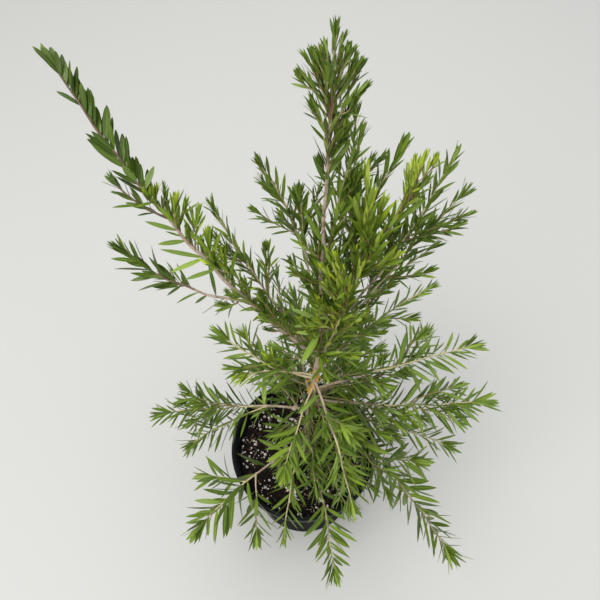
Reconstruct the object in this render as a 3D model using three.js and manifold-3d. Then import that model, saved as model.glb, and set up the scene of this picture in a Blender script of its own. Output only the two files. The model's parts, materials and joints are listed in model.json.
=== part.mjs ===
// A young bottlebrush shrub growing in its black nursery pot, in millimetres, +Z up.
//
// The origin is the centre of the pot's flat underside. Each limb is one tapering solid that follows
// a bowed path from a place on its parent to a tip given by heading, reach and height. Each mass of
// foliage carries on from its limb: a stem with side twigs, and leaves set round them by a seeded rule.
// A leaf or twig that would come too near a limb, the pot or another mass is left out.
import * as THREE from "three";
import { mergeVertices } from "three/addons/utils/BufferGeometryUtils.js";
import Module from "manifold-3d";

const wasm = await Module();
wasm.setup();

// ---- Driving dimensions -------------------------------------------------------------------------

const GAP = 0.3; // clearance between neighbouring solids
const SMALLEST_EDGE = 0.1;

const POT = {
  height: 240,
  rimRadius: 140,
  baseRadius: 107.5,
  wall: 2.2,
  floor: 3,
  lipHeight: 22,
  lipStep: 5,
  lipRound: 4.5,
  sides: 36,
  drains: 8,
  drainWidth: 12,
  drainHeight: 16,
  drainLevel: 14,
};

const MIX = {
  crownLevel: 211, // flat top round the stem
  edgeLevel: 206, // where the mix meets the pot's wall
  crownRadius: 32,
  sides: 36,
};

const TRUNK = {
  foot: [4, 4],
  forkHeading: 36,
  forkReach: 34,
  forkHeight: 575,
  arch: 4,
  footRadius: 7.6,
  forkRadius: 4.7,
  flareRadius: 6.5,
  flareHeight: 11,
  flareLobes: 5,
  sides: 10,
  steps: 15,
};

const BOUGH_SIDES = 5;
const TWIG_SIDES = 3;
const STEP_LENGTH = 42; // along a limb, between its rings
const TIP_RADIUS = 0.9;
const BOUGH_TIP_RADIUS = 2.0; // of a bough that is bare to its end
const LEAF_PITCH = 19; // along a stem, from one leaf to the next
const LEAF_WIDTH_SHARE = 0.22; // of a leaf's length
const LEAF_THICKNESS = 1.6;
const LEAF_GROWTH = 1.25; // larger than life, as there are fewer of them
const TUFT_LEAVES = 3; // at the end of each stem and twig
const LEAF_TURN = 137.5; // degrees round the stem, from one leaf to the next
const SHARED_SPACE = 0.7; // how near another stem may be, as a share of the distance to the leaf's own

// The shoots: name, parent, place along the parent, then the tip's heading (degrees from +X towards
// +Y), reach and height; arch and sweep of the bow (up, and to the left of the heading); diameter
// at the root; share of the length that is a bare bough; number of side twigs; leaf length.
const SHOOTS = [
  ["leader", "trunk", 1, 71, 114, 930, 15, 2, 6.2, 1, 0, 0],
  ["leader_brush", "leader", 1, 75, 172, 1020, 2, 0, 3.8, 0, 6, 30],
  ["leader_right", "leader", 0.42, 62, 148, 885, 12, 0, 2.8, 0, 1, 40],
  ["long_left", "trunk", 0.97, 141, 382, 945, 12, 36, 7.2, 0.6, 0, 42],
  ["left_high", "long_left", 0.56, 148, 281, 830, 6, 12, 3, 0, 0, 30],
  ["left_outer", "long_left", 0.27, 152, 307, 700, -21, 8, 4.2, 0.36, 1, 46],
  ["left_inner", "trunk", 0.99, 128, 200, 775, 4, 12, 4.2, 0.36, 3, 38],
  ["left_short", "long_left", 0.1, 106, 112, 690, 0, 7, 3.2, 0, 1, 36],
  ["left_middle", "trunk", 0.8, 148, 163, 550, -3, 14, 4, 0, 2, 42],
  ["left_near", "trunk", 0.82, 171, 113, 500, 8, -8, 3.4, 0, 1, 38],
  ["upper_left", "leader", 0.04, 111, 151, 864, -12, -30, 4.2, 0.5, 3, 38],
  ["leader_left", "upper_left", 0.5, 90, 102, 845, 3, 1, 2.8, 0, 1, 42],
  ["upper_right", "leader", 0.16, 69, 204, 900, 3, -10, 4, 0.5, 2, 36],
  ["right_bright", "trunk", 0.99, 27, 171, 885, 10, 12, 6, 0.4, 2, 42],
  ["right_upright", "right_bright", 0.25, 50, 220, 860, 20, 8, 4.2, 0, 2, 40],
  ["right_upper", "right_bright", 0.15, 40, 274, 840, 6, -16, 4.2, 0.36, 3, 40],
  ["right_outer", "trunk", 0.97, 34, 285, 785, 26, -6, 4.2, 0.4, 2, 40],
  ["right_shoulder", "trunk", 0.93, 31, 240, 712, 8, 12, 4.4, 0, 1, 38],
  ["right_middle", "trunk", 0.84, 31, 261, 590, 22, 3, 4, 0.32, 2, 40],
  ["centre_front", "trunk", 0.96, 21, 82, 790, 0, -8, 4.2, 0, 2, 36],
  ["centre_upright", "right_bright", 0.36, 56, 140, 870, 10, -18, 4.6, 0, 3, 44],
  ["right_high_spread", "trunk", 0.7, 15, 318, 485, 4, -1, 4.6, 0.36, 1, 44],
  ["right_spread", "trunk", 0.61, 3, 335, 400, -2, -11, 4.8, 0.34, 1, 50],
  ["right_low_spread", "trunk", 0.5, -8, 283, 300, 18, 5, 4.4, 0, 2, 46],
  ["front_right_arch", "trunk", 0.62, -39, 346, 200, 2, 20, 5.2, 0.28, 1, 52],
  ["front_right", "trunk", 0.78, -67, 195, 400, 20, 3, 4, 0.4, 1, 46],
  ["front_near", "trunk", 0.74, -106, 136, 425, 5, -3, 3.2, 0, 0, 42],
  ["front_low", "trunk", 0.17, -79, 260, 235, 28, 5, 4.2, 0.45, 0, 54],
  ["front_hanging", "trunk", 0.17, -102, 185, 218, 30, -8, 3.2, 0, 0, 40],
  ["front_left_low", "trunk", 0.13, -141, 270, 245, 32, -3, 4.6, 0.45, 0, 52],
  ["front_left_side", "front_left_low", 0.5, -163, 207, 270, 4, 0, 2.8, 0, 0, 44],
  ["front_left_hanging", "front_left_low", 0.42, -116, 200, 210, 8, 0, 2.8, 0, 0, 44],
  ["left_low", "trunk", 0.5, 173, 285, 320, 1, -12, 4.8, 0.34, 1, 46],
  ["left_low_side", "left_low", 0.26, -177, 228, 270, 2, -5, 3.2, 0, 0, 44],
  ["back_left", "trunk", 0.56, 95, 225, 400, 14, 0, 4.6, 0.34, 3, 46],
  ["back_right", "trunk", 0.42, 60, 240, 380, 14, 0, 4.6, 0.34, 3, 46],
  ["back_high", "trunk", 0.87, 75, 240, 520, 18, 0, 4.2, 0, 3, 44],
  ["back_low", "trunk", 0.33, 118, 180, 320, 12, 0, 3.8, 0, 2, 44],
];

// ---- Materials ----------------------------------------------------------------------------------

function finish(color, roughness) {
  return new THREE.MeshStandardMaterial({ color, roughness, metalness: 0 });
}

const blackPlastic = finish(0x17191c, 0.45);
const pottingMix = finish(0x2b2019, 0.95);
const bark = finish(0x8f7a66, 0.85);
const leafGreen = finish(0x4c7a1e, 0.6);

// ---- Seeded numbers and bowed paths ---------------------------------------------------------------

// The same seed always gives the same numbers, from 0 up to 1.
class Dice {
  constructor(seed) {
    this.state = (seed * 7919 + 104729) % 2147483647;
    this.roll();
  }

  roll() {
    this.state = (this.state * 16807) % 2147483647;
    return this.state / 2147483647;
  }

  spread(amount) {
    return (2 * this.roll() - 1) * amount;
  }
}

const radians = THREE.MathUtils.degToRad;
const lerp = THREE.MathUtils.lerp;
const clamp = THREE.MathUtils.clamp;

function polar(heading, reach, height) {
  const angle = radians(heading);
  return new THREE.Vector3(reach * Math.cos(angle), reach * Math.sin(angle), height);
}

// A parabola from start to tip, with its own directions across and up that never turn over.
class Path extends THREE.Curve {
  constructor(start, tip, arch = 0, sweep = 0) {
    super();
    this.start = start;
    this.span = tip.clone().sub(start);
    this.length = this.span.length();
    const chord = this.span.clone().normalize();
    this.side = new THREE.Vector3(0, 0, 1).cross(chord);
    if (this.side.length() < 0.05) this.side.set(1, 0, 0);
    this.side.normalize();
    const rise = chord.clone().cross(this.side);
    this.bow = rise.multiplyScalar(arch).addScaledVector(this.side, sweep);
  }

  getPoint(t, target = new THREE.Vector3()) {
    return target
      .copy(this.start)
      .addScaledVector(this.span, t)
      .addScaledVector(this.bow, 4 * t * (1 - t));
  }

  direction(t) {
    return this.span.clone().addScaledVector(this.bow, 4 * (1 - 2 * t)).normalize();
  }

  // A unit direction square to the path, turned round it by an angle in radians.
  outward(t, angle) {
    const along = this.direction(t);
    const across = this.side.clone().addScaledVector(along, -this.side.dot(along)).normalize();
    const up = along.clone().cross(across);
    return across.multiplyScalar(Math.cos(angle)).addScaledVector(up, Math.sin(angle));
  }
}

// ---- Solids ---------------------------------------------------------------------------------------

function toSolid(geometry) {
  const bare = geometry.index ? geometry.toNonIndexed() : geometry.clone();
  bare.deleteAttribute("normal");
  bare.deleteAttribute("uv");
  const merged = mergeVertices(bare, 1e-3);
  return new wasm.Manifold(
    new wasm.Mesh({
      numProp: 3,
      vertProperties: new Float32Array(merged.attributes.position.array),
      triVerts: new Uint32Array(merged.index.array),
    }),
  );
}

function toGeometry(solid) {
  const mesh = solid.getMesh();
  const positions = new Float32Array(mesh.numVert * 3);
  for (let i = 0; i < mesh.numVert; i++) {
    const from = i * mesh.numProp;
    positions.set(mesh.vertProperties.subarray(from, from + 3), i * 3);
  }
  const geometry = new THREE.BufferGeometry();
  geometry.setAttribute("position", new THREE.BufferAttribute(positions, 3));
  geometry.setIndex(new THREE.BufferAttribute(new Uint32Array(mesh.triVerts), 1));
  return geometry;
}

// Whether every edge of a solid joins just two faces once points that lie together are one point.
function isSound(solid) {
  const mesh = solid.getMesh();
  const keys = [];
  for (let i = 0; i < mesh.numVert; i++) {
    const from = i * mesh.numProp;
    keys.push([0, 1, 2].map((axis) => mesh.vertProperties[from + axis].toFixed(3)).join());
  }
  const uses = new Map();
  for (let i = 0; i < mesh.triVerts.length; i += 3) {
    const corners = [0, 1, 2].map((corner) => keys[mesh.triVerts[i + corner]]);
    if (new Set(corners).size < 3) return false;
    corners.forEach((key, corner) => {
      const edge = [key, corners[(corner + 1) % 3]].sort().join(";");
      uses.set(edge, (uses.get(edge) ?? 0) + 1);
    });
  }
  return [...uses.values()].every((count) => count === 2);
}

// The outer body of a solid, with tiny edges closed up. A loose scrap is dropped, and a hollow that
// the joining has sealed is filled, because the hollow counts as a body of its own.
function oneBody(solid) {
  const simple = toSolid(toGeometry(solid.simplify(SMALLEST_EDGE)));
  const bodies = simple.decompose();
  bodies.sort((a, b) => b.volume() - a.volume());
  return bodies[0];
}

// A closed tube from rings of points, each ring the same count and turning the same way.
function ringsSolid(rings) {
  const sides = rings[0].length;
  const last = rings.length - 1;
  const points = rings.flat();
  const index = [];
  for (let r = 0; r < last; r++) {
    for (let i = 0; i < sides; i++) {
      const next = (i + 1) % sides;
      const [a, b] = [r * sides + i, r * sides + next];
      const [c, d] = [a + sides, b + sides];
      index.push(a, b, d, a, d, c);
    }
  }
  for (let i = 1; i < sides - 1; i++) {
    index.push(0, i + 1, i);
    index.push(last * sides, last * sides + i, last * sides + i + 1);
  }
  const geometry = new THREE.BufferGeometry().setFromPoints(points);
  geometry.setIndex(index);
  return toSolid(geometry);
}

// A limb along a path, from one place on it to another, with a radius that tapers evenly.
function limbSolid(limb, from, to, sides, extra = 0) {
  const steps = Math.max(2, Math.round(((to - from) * limb.path.length) / STEP_LENGTH));
  const rings = [];
  for (let s = 0; s <= steps; s++) {
    const t = lerp(from, to, s / steps);
    const centre = limb.path.getPoint(t);
    const ring = [];
    for (let i = 0; i < sides; i++) {
      const out = limb.path.outward(t, (2 * Math.PI * i) / sides);
      ring.push(out.multiplyScalar(limb.radiusAt(t) + extra).add(centre));
    }
    rings.push(ring);
  }
  return ringsSolid(rings);
}

// ---- Pot and potting mix ----------------------------------------------------------------------------

// The wall's outer radius at a height, below the lip.
function wallRadius(z) {
  return lerp(POT.baseRadius, POT.rimRadius - POT.lipStep - 1.5, z / POT.height);
}

function lathe(profile, sides) {
  const points = profile.map(([radius, z]) => new THREE.Vector2(radius, z));
  return toSolid(new THREE.LatheGeometry(points, sides).rotateX(Math.PI / 2));
}

function potSolid() {
  const { height, rimRadius, baseRadius, wall, floor, lipHeight, lipStep, lipRound } = POT;
  const lipFoot = height - lipHeight;
  const inside = (z) => wallRadius(z) - wall;
  const lipTop = rimRadius - lipRound;
  const shell = lathe(
    [
      [0, 0],
      [baseRadius - 4, 0],
      [wallRadius(5), 5],
      [wallRadius(lipFoot - 2), lipFoot - 2],
      [rimRadius - 2, lipFoot + 1],
      [rimRadius - 0.6, lipFoot + lipStep],
      [rimRadius, height - lipRound],
      [lipTop + lipRound * 0.7, height - lipRound * 0.3],
      [lipTop, height],
      [lipTop - lipRound * 0.7, height - lipRound * 0.3],
      [lipTop - lipRound, height - lipRound],
      [inside(lipFoot), lipFoot],
      [inside(floor + 4), floor + 4],
      [inside(floor) - 4, floor],
      [0, floor],
    ],
    POT.sides,
  );
  let pot = shell;
  for (let i = 0; i < POT.drains; i++) {
    const slot = new THREE.BoxGeometry(24, POT.drainWidth, POT.drainHeight);
    slot.translate(POT.baseRadius, 0, POT.drainLevel + POT.drainHeight / 2);
    slot.rotateZ((2 * Math.PI * (i + 0.5)) / POT.drains);
    pot = pot.subtract(toSolid(slot));
  }
  return pot;
}

function mixSolid() {
  const side = (z) => wallRadius(z) - POT.wall - 0.6;
  const foot = POT.floor + GAP;
  return lathe(
    [
      [0, foot],
      [side(foot) - 5, foot],
      [side(foot + 5), foot + 5],
      [side(MIX.edgeLevel), MIX.edgeLevel],
      [MIX.crownRadius * 2.4, MIX.crownLevel - 2],
      [MIX.crownRadius, MIX.crownLevel],
      [0, MIX.crownLevel],
    ],
    MIX.sides,
  );
}

// Whether a point keeps a clearance to the pot, the mix in it and the level it stands on.
function clearOfPot(point, clearance) {
  const radius = Math.hypot(point.x, point.y);
  if (point.z < clearance) return false;
  if (point.z > POT.height + clearance || radius > POT.rimRadius + clearance) return true;
  const inner = wallRadius(point.z) - POT.wall - clearance;
  return point.z > MIX.crownLevel + clearance && radius < inner;
}

// ---- Limbs --------------------------------------------------------------------------------------------

class Limb {
  constructor(name, path, rootRadius, tipRadius) {
    this.name = name;
    this.path = path;
    this.rootRadius = rootRadius;
    this.tipRadius = tipRadius;
    this.bare = 0;
  }

  radiusAt(t) {
    return lerp(this.rootRadius, this.tipRadius, clamp(t, 0, 1));
  }

  // Points along the limb for measuring distances, out to a place on it.
  trace(from, to) {
    const count = Math.max(3, Math.ceil(((to - from) * this.path.length) / 16));
    return Array.from({ length: count + 1 }, (_, i) => this.path.getPoint(lerp(from, to, i / count)));
  }
}

function makeTrunk() {
  const foot = new THREE.Vector3(TRUNK.foot[0], TRUNK.foot[1], MIX.crownLevel + GAP);
  const fork = polar(TRUNK.forkHeading, TRUNK.forkReach, TRUNK.forkHeight);
  const path = new Path(foot, fork, TRUNK.arch);
  return new Limb("trunk", path, TRUNK.footRadius, TRUNK.forkRadius);
}

// Level rings give the stem its flat cut at the foot. The flare swells in lobes where roots leave it.
function trunkSolid(trunk, extra = 0) {
  const rings = [];
  for (let s = 0; s <= TRUNK.steps; s++) {
    const t = (s / TRUNK.steps) ** 1.6;
    const centre = trunk.path.getPoint(t);
    const swell = TRUNK.flareRadius * Math.exp(-(centre.z - MIX.crownLevel) / TRUNK.flareHeight);
    const ring = [];
    for (let i = 0; i < TRUNK.sides; i++) {
      const angle = (2 * Math.PI * i) / TRUNK.sides;
      const lobe = 1 + 0.35 * Math.cos(TRUNK.flareLobes * angle);
      const radius = trunk.radiusAt(t) + swell * lobe + extra;
      ring.push(
        new THREE.Vector3(radius * Math.cos(angle), radius * Math.sin(angle), 0).add(centre),
      );
    }
    rings.push(ring);
  }
  return ringsSolid(rings);
}

const trunk = makeTrunk();
const limbs = new Map([["trunk", trunk]]);
for (const [name, parent, at, heading, reach, height, arch, sweep, girth, bare, twigs, leaf] of SHOOTS) {
  const root = limbs.get(parent).path.getPoint(at);
  const path = new Path(root, polar(heading, reach, height), arch, sweep);
  const wholeBough = bare === 1;
  const limb = new Limb(name, path, girth / 2, wholeBough ? BOUGH_TIP_RADIUS : TIP_RADIUS);
  Object.assign(limb, { parent, at, bare, twigs, leaf });
  limb.seed = limbs.size;
  // The last leaves carry on past the stem's end to the tip.
  limb.stemEnd = wholeBough ? 1 : 1 - Math.min(0.3, (0.62 * leaf) / path.length);
  limbs.set(name, limb);
}
const shoots = [...limbs.values()].slice(1);

// ---- Distances between masses ---------------------------------------------------------------------------

const traces = new Map(shoots.map((limb) => [limb.name, limb.trace(0, limb.stemEnd)]));
traces.set("trunk", trunk.trace(0, 1));

function distanceToTrace(point, trace) {
  let least = Infinity;
  const segment = new THREE.Line3();
  const nearest = new THREE.Vector3();
  for (let i = 1; i < trace.length; i++) {
    segment.set(trace[i - 1], trace[i]);
    segment.closestPointToPoint(point, true, nearest);
    least = Math.min(least, nearest.distanceToSquared(point));
  }
  return Math.sqrt(least);
}

// A point belongs to a shoot while no other stem is much nearer than its own, nor touched.
function inOwnSpace(point, limb, halfWidth) {
  const margin = halfWidth + 0.8;
  if (!clearOfPot(point, margin)) return false;
  const own = distanceToTrace(point, traces.get(limb.name));
  for (const [name, trace] of traces) {
    if (name === limb.name) continue;
    const bareLimb = name === "trunk" || limbs.get(name).bare === 1;
    const wanted = margin + (bareLimb ? limbs.get(name).rootRadius : 2 + SHARED_SPACE * own);
    if (distanceToTrace(point, trace) < wanted) return false;
  }
  return true;
}

// ---- Leaves and twigs -------------------------------------------------------------------------------------

// A leaf of eight faces: pointed at both ends, widest before the middle, thin through.
function leafSolid(leaf, extra = 0) {
  const width = (leaf.length * LEAF_WIDTH_SHARE) / 2 + extra;
  const depth = LEAF_THICKNESS / 2 + extra;
  const middle = leaf.root.clone().addScaledVector(leaf.along, leaf.length * 0.45);
  const tip = leaf.root.clone().addScaledVector(leaf.along, leaf.length + 2 * extra);
  const ring = [
    middle.clone().addScaledVector(leaf.across, width),
    middle.clone().addScaledVector(leaf.face, depth),
    middle.clone().addScaledVector(leaf.across, -width),
    middle.clone().addScaledVector(leaf.face, -depth),
  ];
  const index = [];
  for (let i = 0; i < 4; i++) {
    const next = (i + 1) % 4;
    index.push(0, 2 + i, 2 + next, 1, 2 + next, 2 + i);
  }
  const geometry = new THREE.BufferGeometry().setFromPoints([leaf.root, tip, ...ring]);
  geometry.setIndex(index);
  return toSolid(geometry);
}

// Where a leaf stands on a stem: `turn` round it and `lean` away from it, both in radians.
function placeLeaf(path, t, turn, lean, length, twist) {
  const stem = path.direction(t);
  const out = path.outward(t, turn);
  const along = stem.clone().multiplyScalar(Math.cos(lean)).addScaledVector(out, Math.sin(lean));
  const upper = stem.clone().addScaledVector(along, -stem.dot(along)).normalize();
  const across = along.clone().cross(upper);
  const face = upper.multiplyScalar(Math.cos(twist)).addScaledVector(across, Math.sin(twist));
  return { root: path.getPoint(t), along, face, across: along.clone().cross(face), length };
}

// Pieces already made: limbs with the clearance added all round, for cutting their neighbours, and
// the pot and masses, which a later leaf or twig has to miss.
const grownLimbs = [];
const obstacles = [];

function boxesMeet(a, b) {
  const [p, q] = [a.boundingBox(), b.boundingBox()];
  return [0, 1, 2].every((axis) => p.min[axis] < q.max[axis] && q.min[axis] < p.max[axis]);
}

function touchesPiece(solid) {
  return obstacles.some((piece) => boxesMeet(solid, piece) && solid.intersect(piece).volume() > 0);
}

function cutClear(solid) {
  return grownLimbs.reduce((rest, limb) => (boxesMeet(rest, limb) ? rest.subtract(limb) : rest), solid);
}

function leafFits(leaf, limb) {
  const halfWidth = (leaf.length * LEAF_WIDTH_SHARE) / 2;
  const inside = [0.3, 0.45, 0.7, 1].every((share) => {
    const point = leaf.root.clone().addScaledVector(leaf.along, leaf.length * share);
    return inOwnSpace(point, limb, share === 1 ? 1 : halfWidth);
  });
  return inside && !touchesPiece(leafSolid(leaf, GAP));
}

// Leaves set round a stem from one place on it to its end, then a tuft that closes over the end.
function leavesAlong(path, from, to, limb, size, dice) {
  const leaves = [];
  const count = Math.max(1, Math.round(((to - from) * path.length) / LEAF_PITCH));
  const turn = dice.roll() * 360;
  for (let i = 0; i < count; i++) {
    const share = (i + 0.5) / count;
    const lean = lerp(56, 34, share) + dice.spread(7);
    const length = size * lerp(0.92, 1.05, Math.sin(Math.PI * share)) * (1 + dice.spread(0.1));
    const angle = radians(turn + i * LEAF_TURN + dice.spread(14));
    const t = lerp(from, to, share);
    leaves.push(placeLeaf(path, t, angle, radians(lean), length, radians(dice.spread(30))));
  }
  for (let i = 0; i < TUFT_LEAVES; i++) {
    const angle = radians(turn + (360 * i) / TUFT_LEAVES + dice.spread(20));
    const lean = i === 0 ? 3 : 19 + dice.spread(5);
    const length = i === 0 ? size * 0.68 : size * 0.74;
    const t = to - (i * 0.1 * size) / path.length - 2.5 / path.length;
    leaves.push(placeLeaf(path, t, angle, radians(lean), length, radians(dice.spread(20))));
  }
  return leaves.filter((leaf) => leafFits(leaf, limb));
}

// Side twigs leave the leafy stretch one after another, shorter towards its end.
function twigsOf(limb, from, dice) {
  const twigs = [];
  const leafy = (limb.stemEnd - from) * limb.path.length;
  const turn = dice.roll() * 360;
  const whorl = limb.twigs > 4;
  for (let i = 0; i < limb.twigs; i++) {
    const share = whorl ? 0.02 + 0.05 * i : 0.1 + (0.55 * i) / Math.max(1, limb.twigs);
    const t = lerp(from, limb.stemEnd, share + dice.roll() * 0.05);
    const lean = radians(whorl ? 27 + dice.spread(5) : 40 + dice.spread(6));
    const out = limb.path.outward(t, radians(turn + i * LEAF_TURN + dice.spread(15)));
    const way = limb.path.direction(t).multiplyScalar(Math.cos(lean));
    way.addScaledVector(out, Math.sin(lean));
    const full = whorl ? 0.72 : 0.5;
    const length = clamp(full * leafy * (1 - share), 34, 72) * (1 + dice.spread(0.12));
    const start = limb.path.getPoint(t);
    const path = new Path(start, start.clone().addScaledVector(way, length), -3, 0);
    const radius = Math.min(1.5, limb.radiusAt(t) * 0.75);
    const twig = new Limb(limb.name, path, radius, TIP_RADIUS);
    const inside = [0.35, 0.6, 0.8, 1].every((s) => inOwnSpace(path.getPoint(s), limb, 2));
    if (inside && !touchesPiece(limbSolid(twig, 0, 1, TWIG_SIDES, GAP))) twigs.push(twig);
  }
  return twigs;
}

// One mass: its stem, twigs and leaves joined, and cut clear of the limbs round it.
function foliageSolid(limb) {
  const dice = new Dice(limb.seed);
  const carriesOn = limb.bare > 0 || limb.at === 1;
  const from = carriesOn ? limb.bare + GAP / limb.path.length : 0;
  const bareStart = carriesOn ? 4 : Math.min(26, 0.2 * limb.path.length);
  const leafStart = from + bareStart / limb.path.length;
  const size = limb.leaf * LEAF_GROWTH;
  const twigs = twigsOf(limb, leafStart, dice);
  const leaves = leavesAlong(limb.path, leafStart, limb.stemEnd, limb, size, dice);
  const solids = [limbSolid(limb, from, limb.stemEnd, TWIG_SIDES)];
  for (const twig of twigs) {
    solids.push(limbSolid(twig, 0, 1, TWIG_SIDES));
    leaves.push(...leavesAlong(twig.path, 0.25, 1, limb, size * 0.86, dice));
  }
  // Where two blades only graze each other the joined skin is unsound, and a leaf is left out.
  const blades = leaves.map((leaf) => leafSolid(leaf));
  let mass = oneBody(cutClear(wasm.Manifold.union([...solids, ...blades])));
  while (!isSound(mass)) {
    blades.pop();
    mass = oneBody(cutClear(wasm.Manifold.union([...solids, ...blades])));
  }
  obstacles.push(mass);
  grownLimbs.push(limbSolid(limb, from, limb.stemEnd, TWIG_SIDES, GAP / Math.cos(Math.PI / TWIG_SIDES)));
  return mass;
}

// One bough, cut clear of the trunk and the boughs made before it.
function boughSolid(limb) {
  const bough = oneBody(cutClear(limbSolid(limb, 0, limb.bare, BOUGH_SIDES)));
  grownLimbs.push(limbSolid(limb, 0, limb.bare, BOUGH_SIDES, GAP / Math.cos(Math.PI / BOUGH_SIDES)));
  return bough;
}

// ---- The shrub in its pot -----------------------------------------------------------------------------------

function addPiece(group, name, solid, material) {
  const mesh = new THREE.Mesh(toGeometry(solid), material);
  mesh.name = name;
  group.add(mesh);
}

const shrub = new THREE.Group();
shrub.name = "potted_bottlebrush";
const container = new THREE.Group();
const wood = new THREE.Group();
const foliage = new THREE.Group();
shrub.add(container, wood, foliage);

const pot = potSolid();
obstacles.push(pot);
addPiece(container, "pot", pot, blackPlastic);
addPiece(container, "potting_mix", mixSolid(), pottingMix);
addPiece(wood, "trunk", trunkSolid(trunk), bark);
grownLimbs.push(trunkSolid(trunk, GAP));
for (const limb of shoots.filter(({ bare }) => bare > 0)) {
  addPiece(wood, `bough_${limb.name}`, boughSolid(limb), bark);
}
for (const limb of shoots.filter(({ bare }) => bare < 1)) {
  addPiece(foliage, `foliage_${limb.name}`, foliageSolid(limb), leafGreen);
}

export default shrub;
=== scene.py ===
"""A young bottlebrush shrub in its black nursery pot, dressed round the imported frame.

Lengths are in metres, angles in degrees unless a name says otherwise, and +Z is up. The shoots
grow by the frame's own table and seeded rule. Here each one carries on to finer leaves and twigs
within the same reach, and the trunk, the boughs, the pot and the mix get their true surfaces.
"""

import json
import logging
import math
from collections.abc import Iterator
from contextlib import contextmanager
from dataclasses import dataclass, field, replace
from enum import Enum

import bmesh
import bpy
import numpy as np
from mathutils import Matrix, Vector, noise

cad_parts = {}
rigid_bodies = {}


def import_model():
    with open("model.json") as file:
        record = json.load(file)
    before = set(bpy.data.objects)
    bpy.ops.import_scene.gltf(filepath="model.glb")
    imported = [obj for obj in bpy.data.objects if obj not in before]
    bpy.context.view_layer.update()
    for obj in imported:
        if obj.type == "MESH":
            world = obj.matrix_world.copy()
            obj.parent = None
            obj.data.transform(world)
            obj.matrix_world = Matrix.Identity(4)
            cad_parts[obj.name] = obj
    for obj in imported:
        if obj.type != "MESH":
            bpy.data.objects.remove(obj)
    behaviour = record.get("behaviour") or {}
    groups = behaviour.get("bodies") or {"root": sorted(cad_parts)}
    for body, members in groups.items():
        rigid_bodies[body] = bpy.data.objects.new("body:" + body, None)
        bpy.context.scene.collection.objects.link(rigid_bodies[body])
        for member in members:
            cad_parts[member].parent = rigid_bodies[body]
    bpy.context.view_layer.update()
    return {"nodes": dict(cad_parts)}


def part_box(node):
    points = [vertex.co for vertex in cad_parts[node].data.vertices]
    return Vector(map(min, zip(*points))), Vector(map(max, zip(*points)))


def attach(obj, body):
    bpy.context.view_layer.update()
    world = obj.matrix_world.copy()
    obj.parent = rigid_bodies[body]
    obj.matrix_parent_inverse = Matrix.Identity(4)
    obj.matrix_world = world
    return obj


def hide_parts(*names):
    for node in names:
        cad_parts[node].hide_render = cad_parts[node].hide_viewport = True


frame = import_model()
log = logging.getLogger("shrub")

Colour = tuple[float, float, float]
Pair = tuple[float, float]
Socket = bpy.types.NodeSocket
Group = bpy.types.NodeTree
Mesh, Object, Material = bpy.types.Mesh, bpy.types.Object, bpy.types.Material

ROOT_BODY = "root"
UP = Vector((0, 0, 1))
LIGHT = Vector((0.0, -0.55, 0.83))  # where most of the light comes from


# ---- Node trees ----


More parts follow.
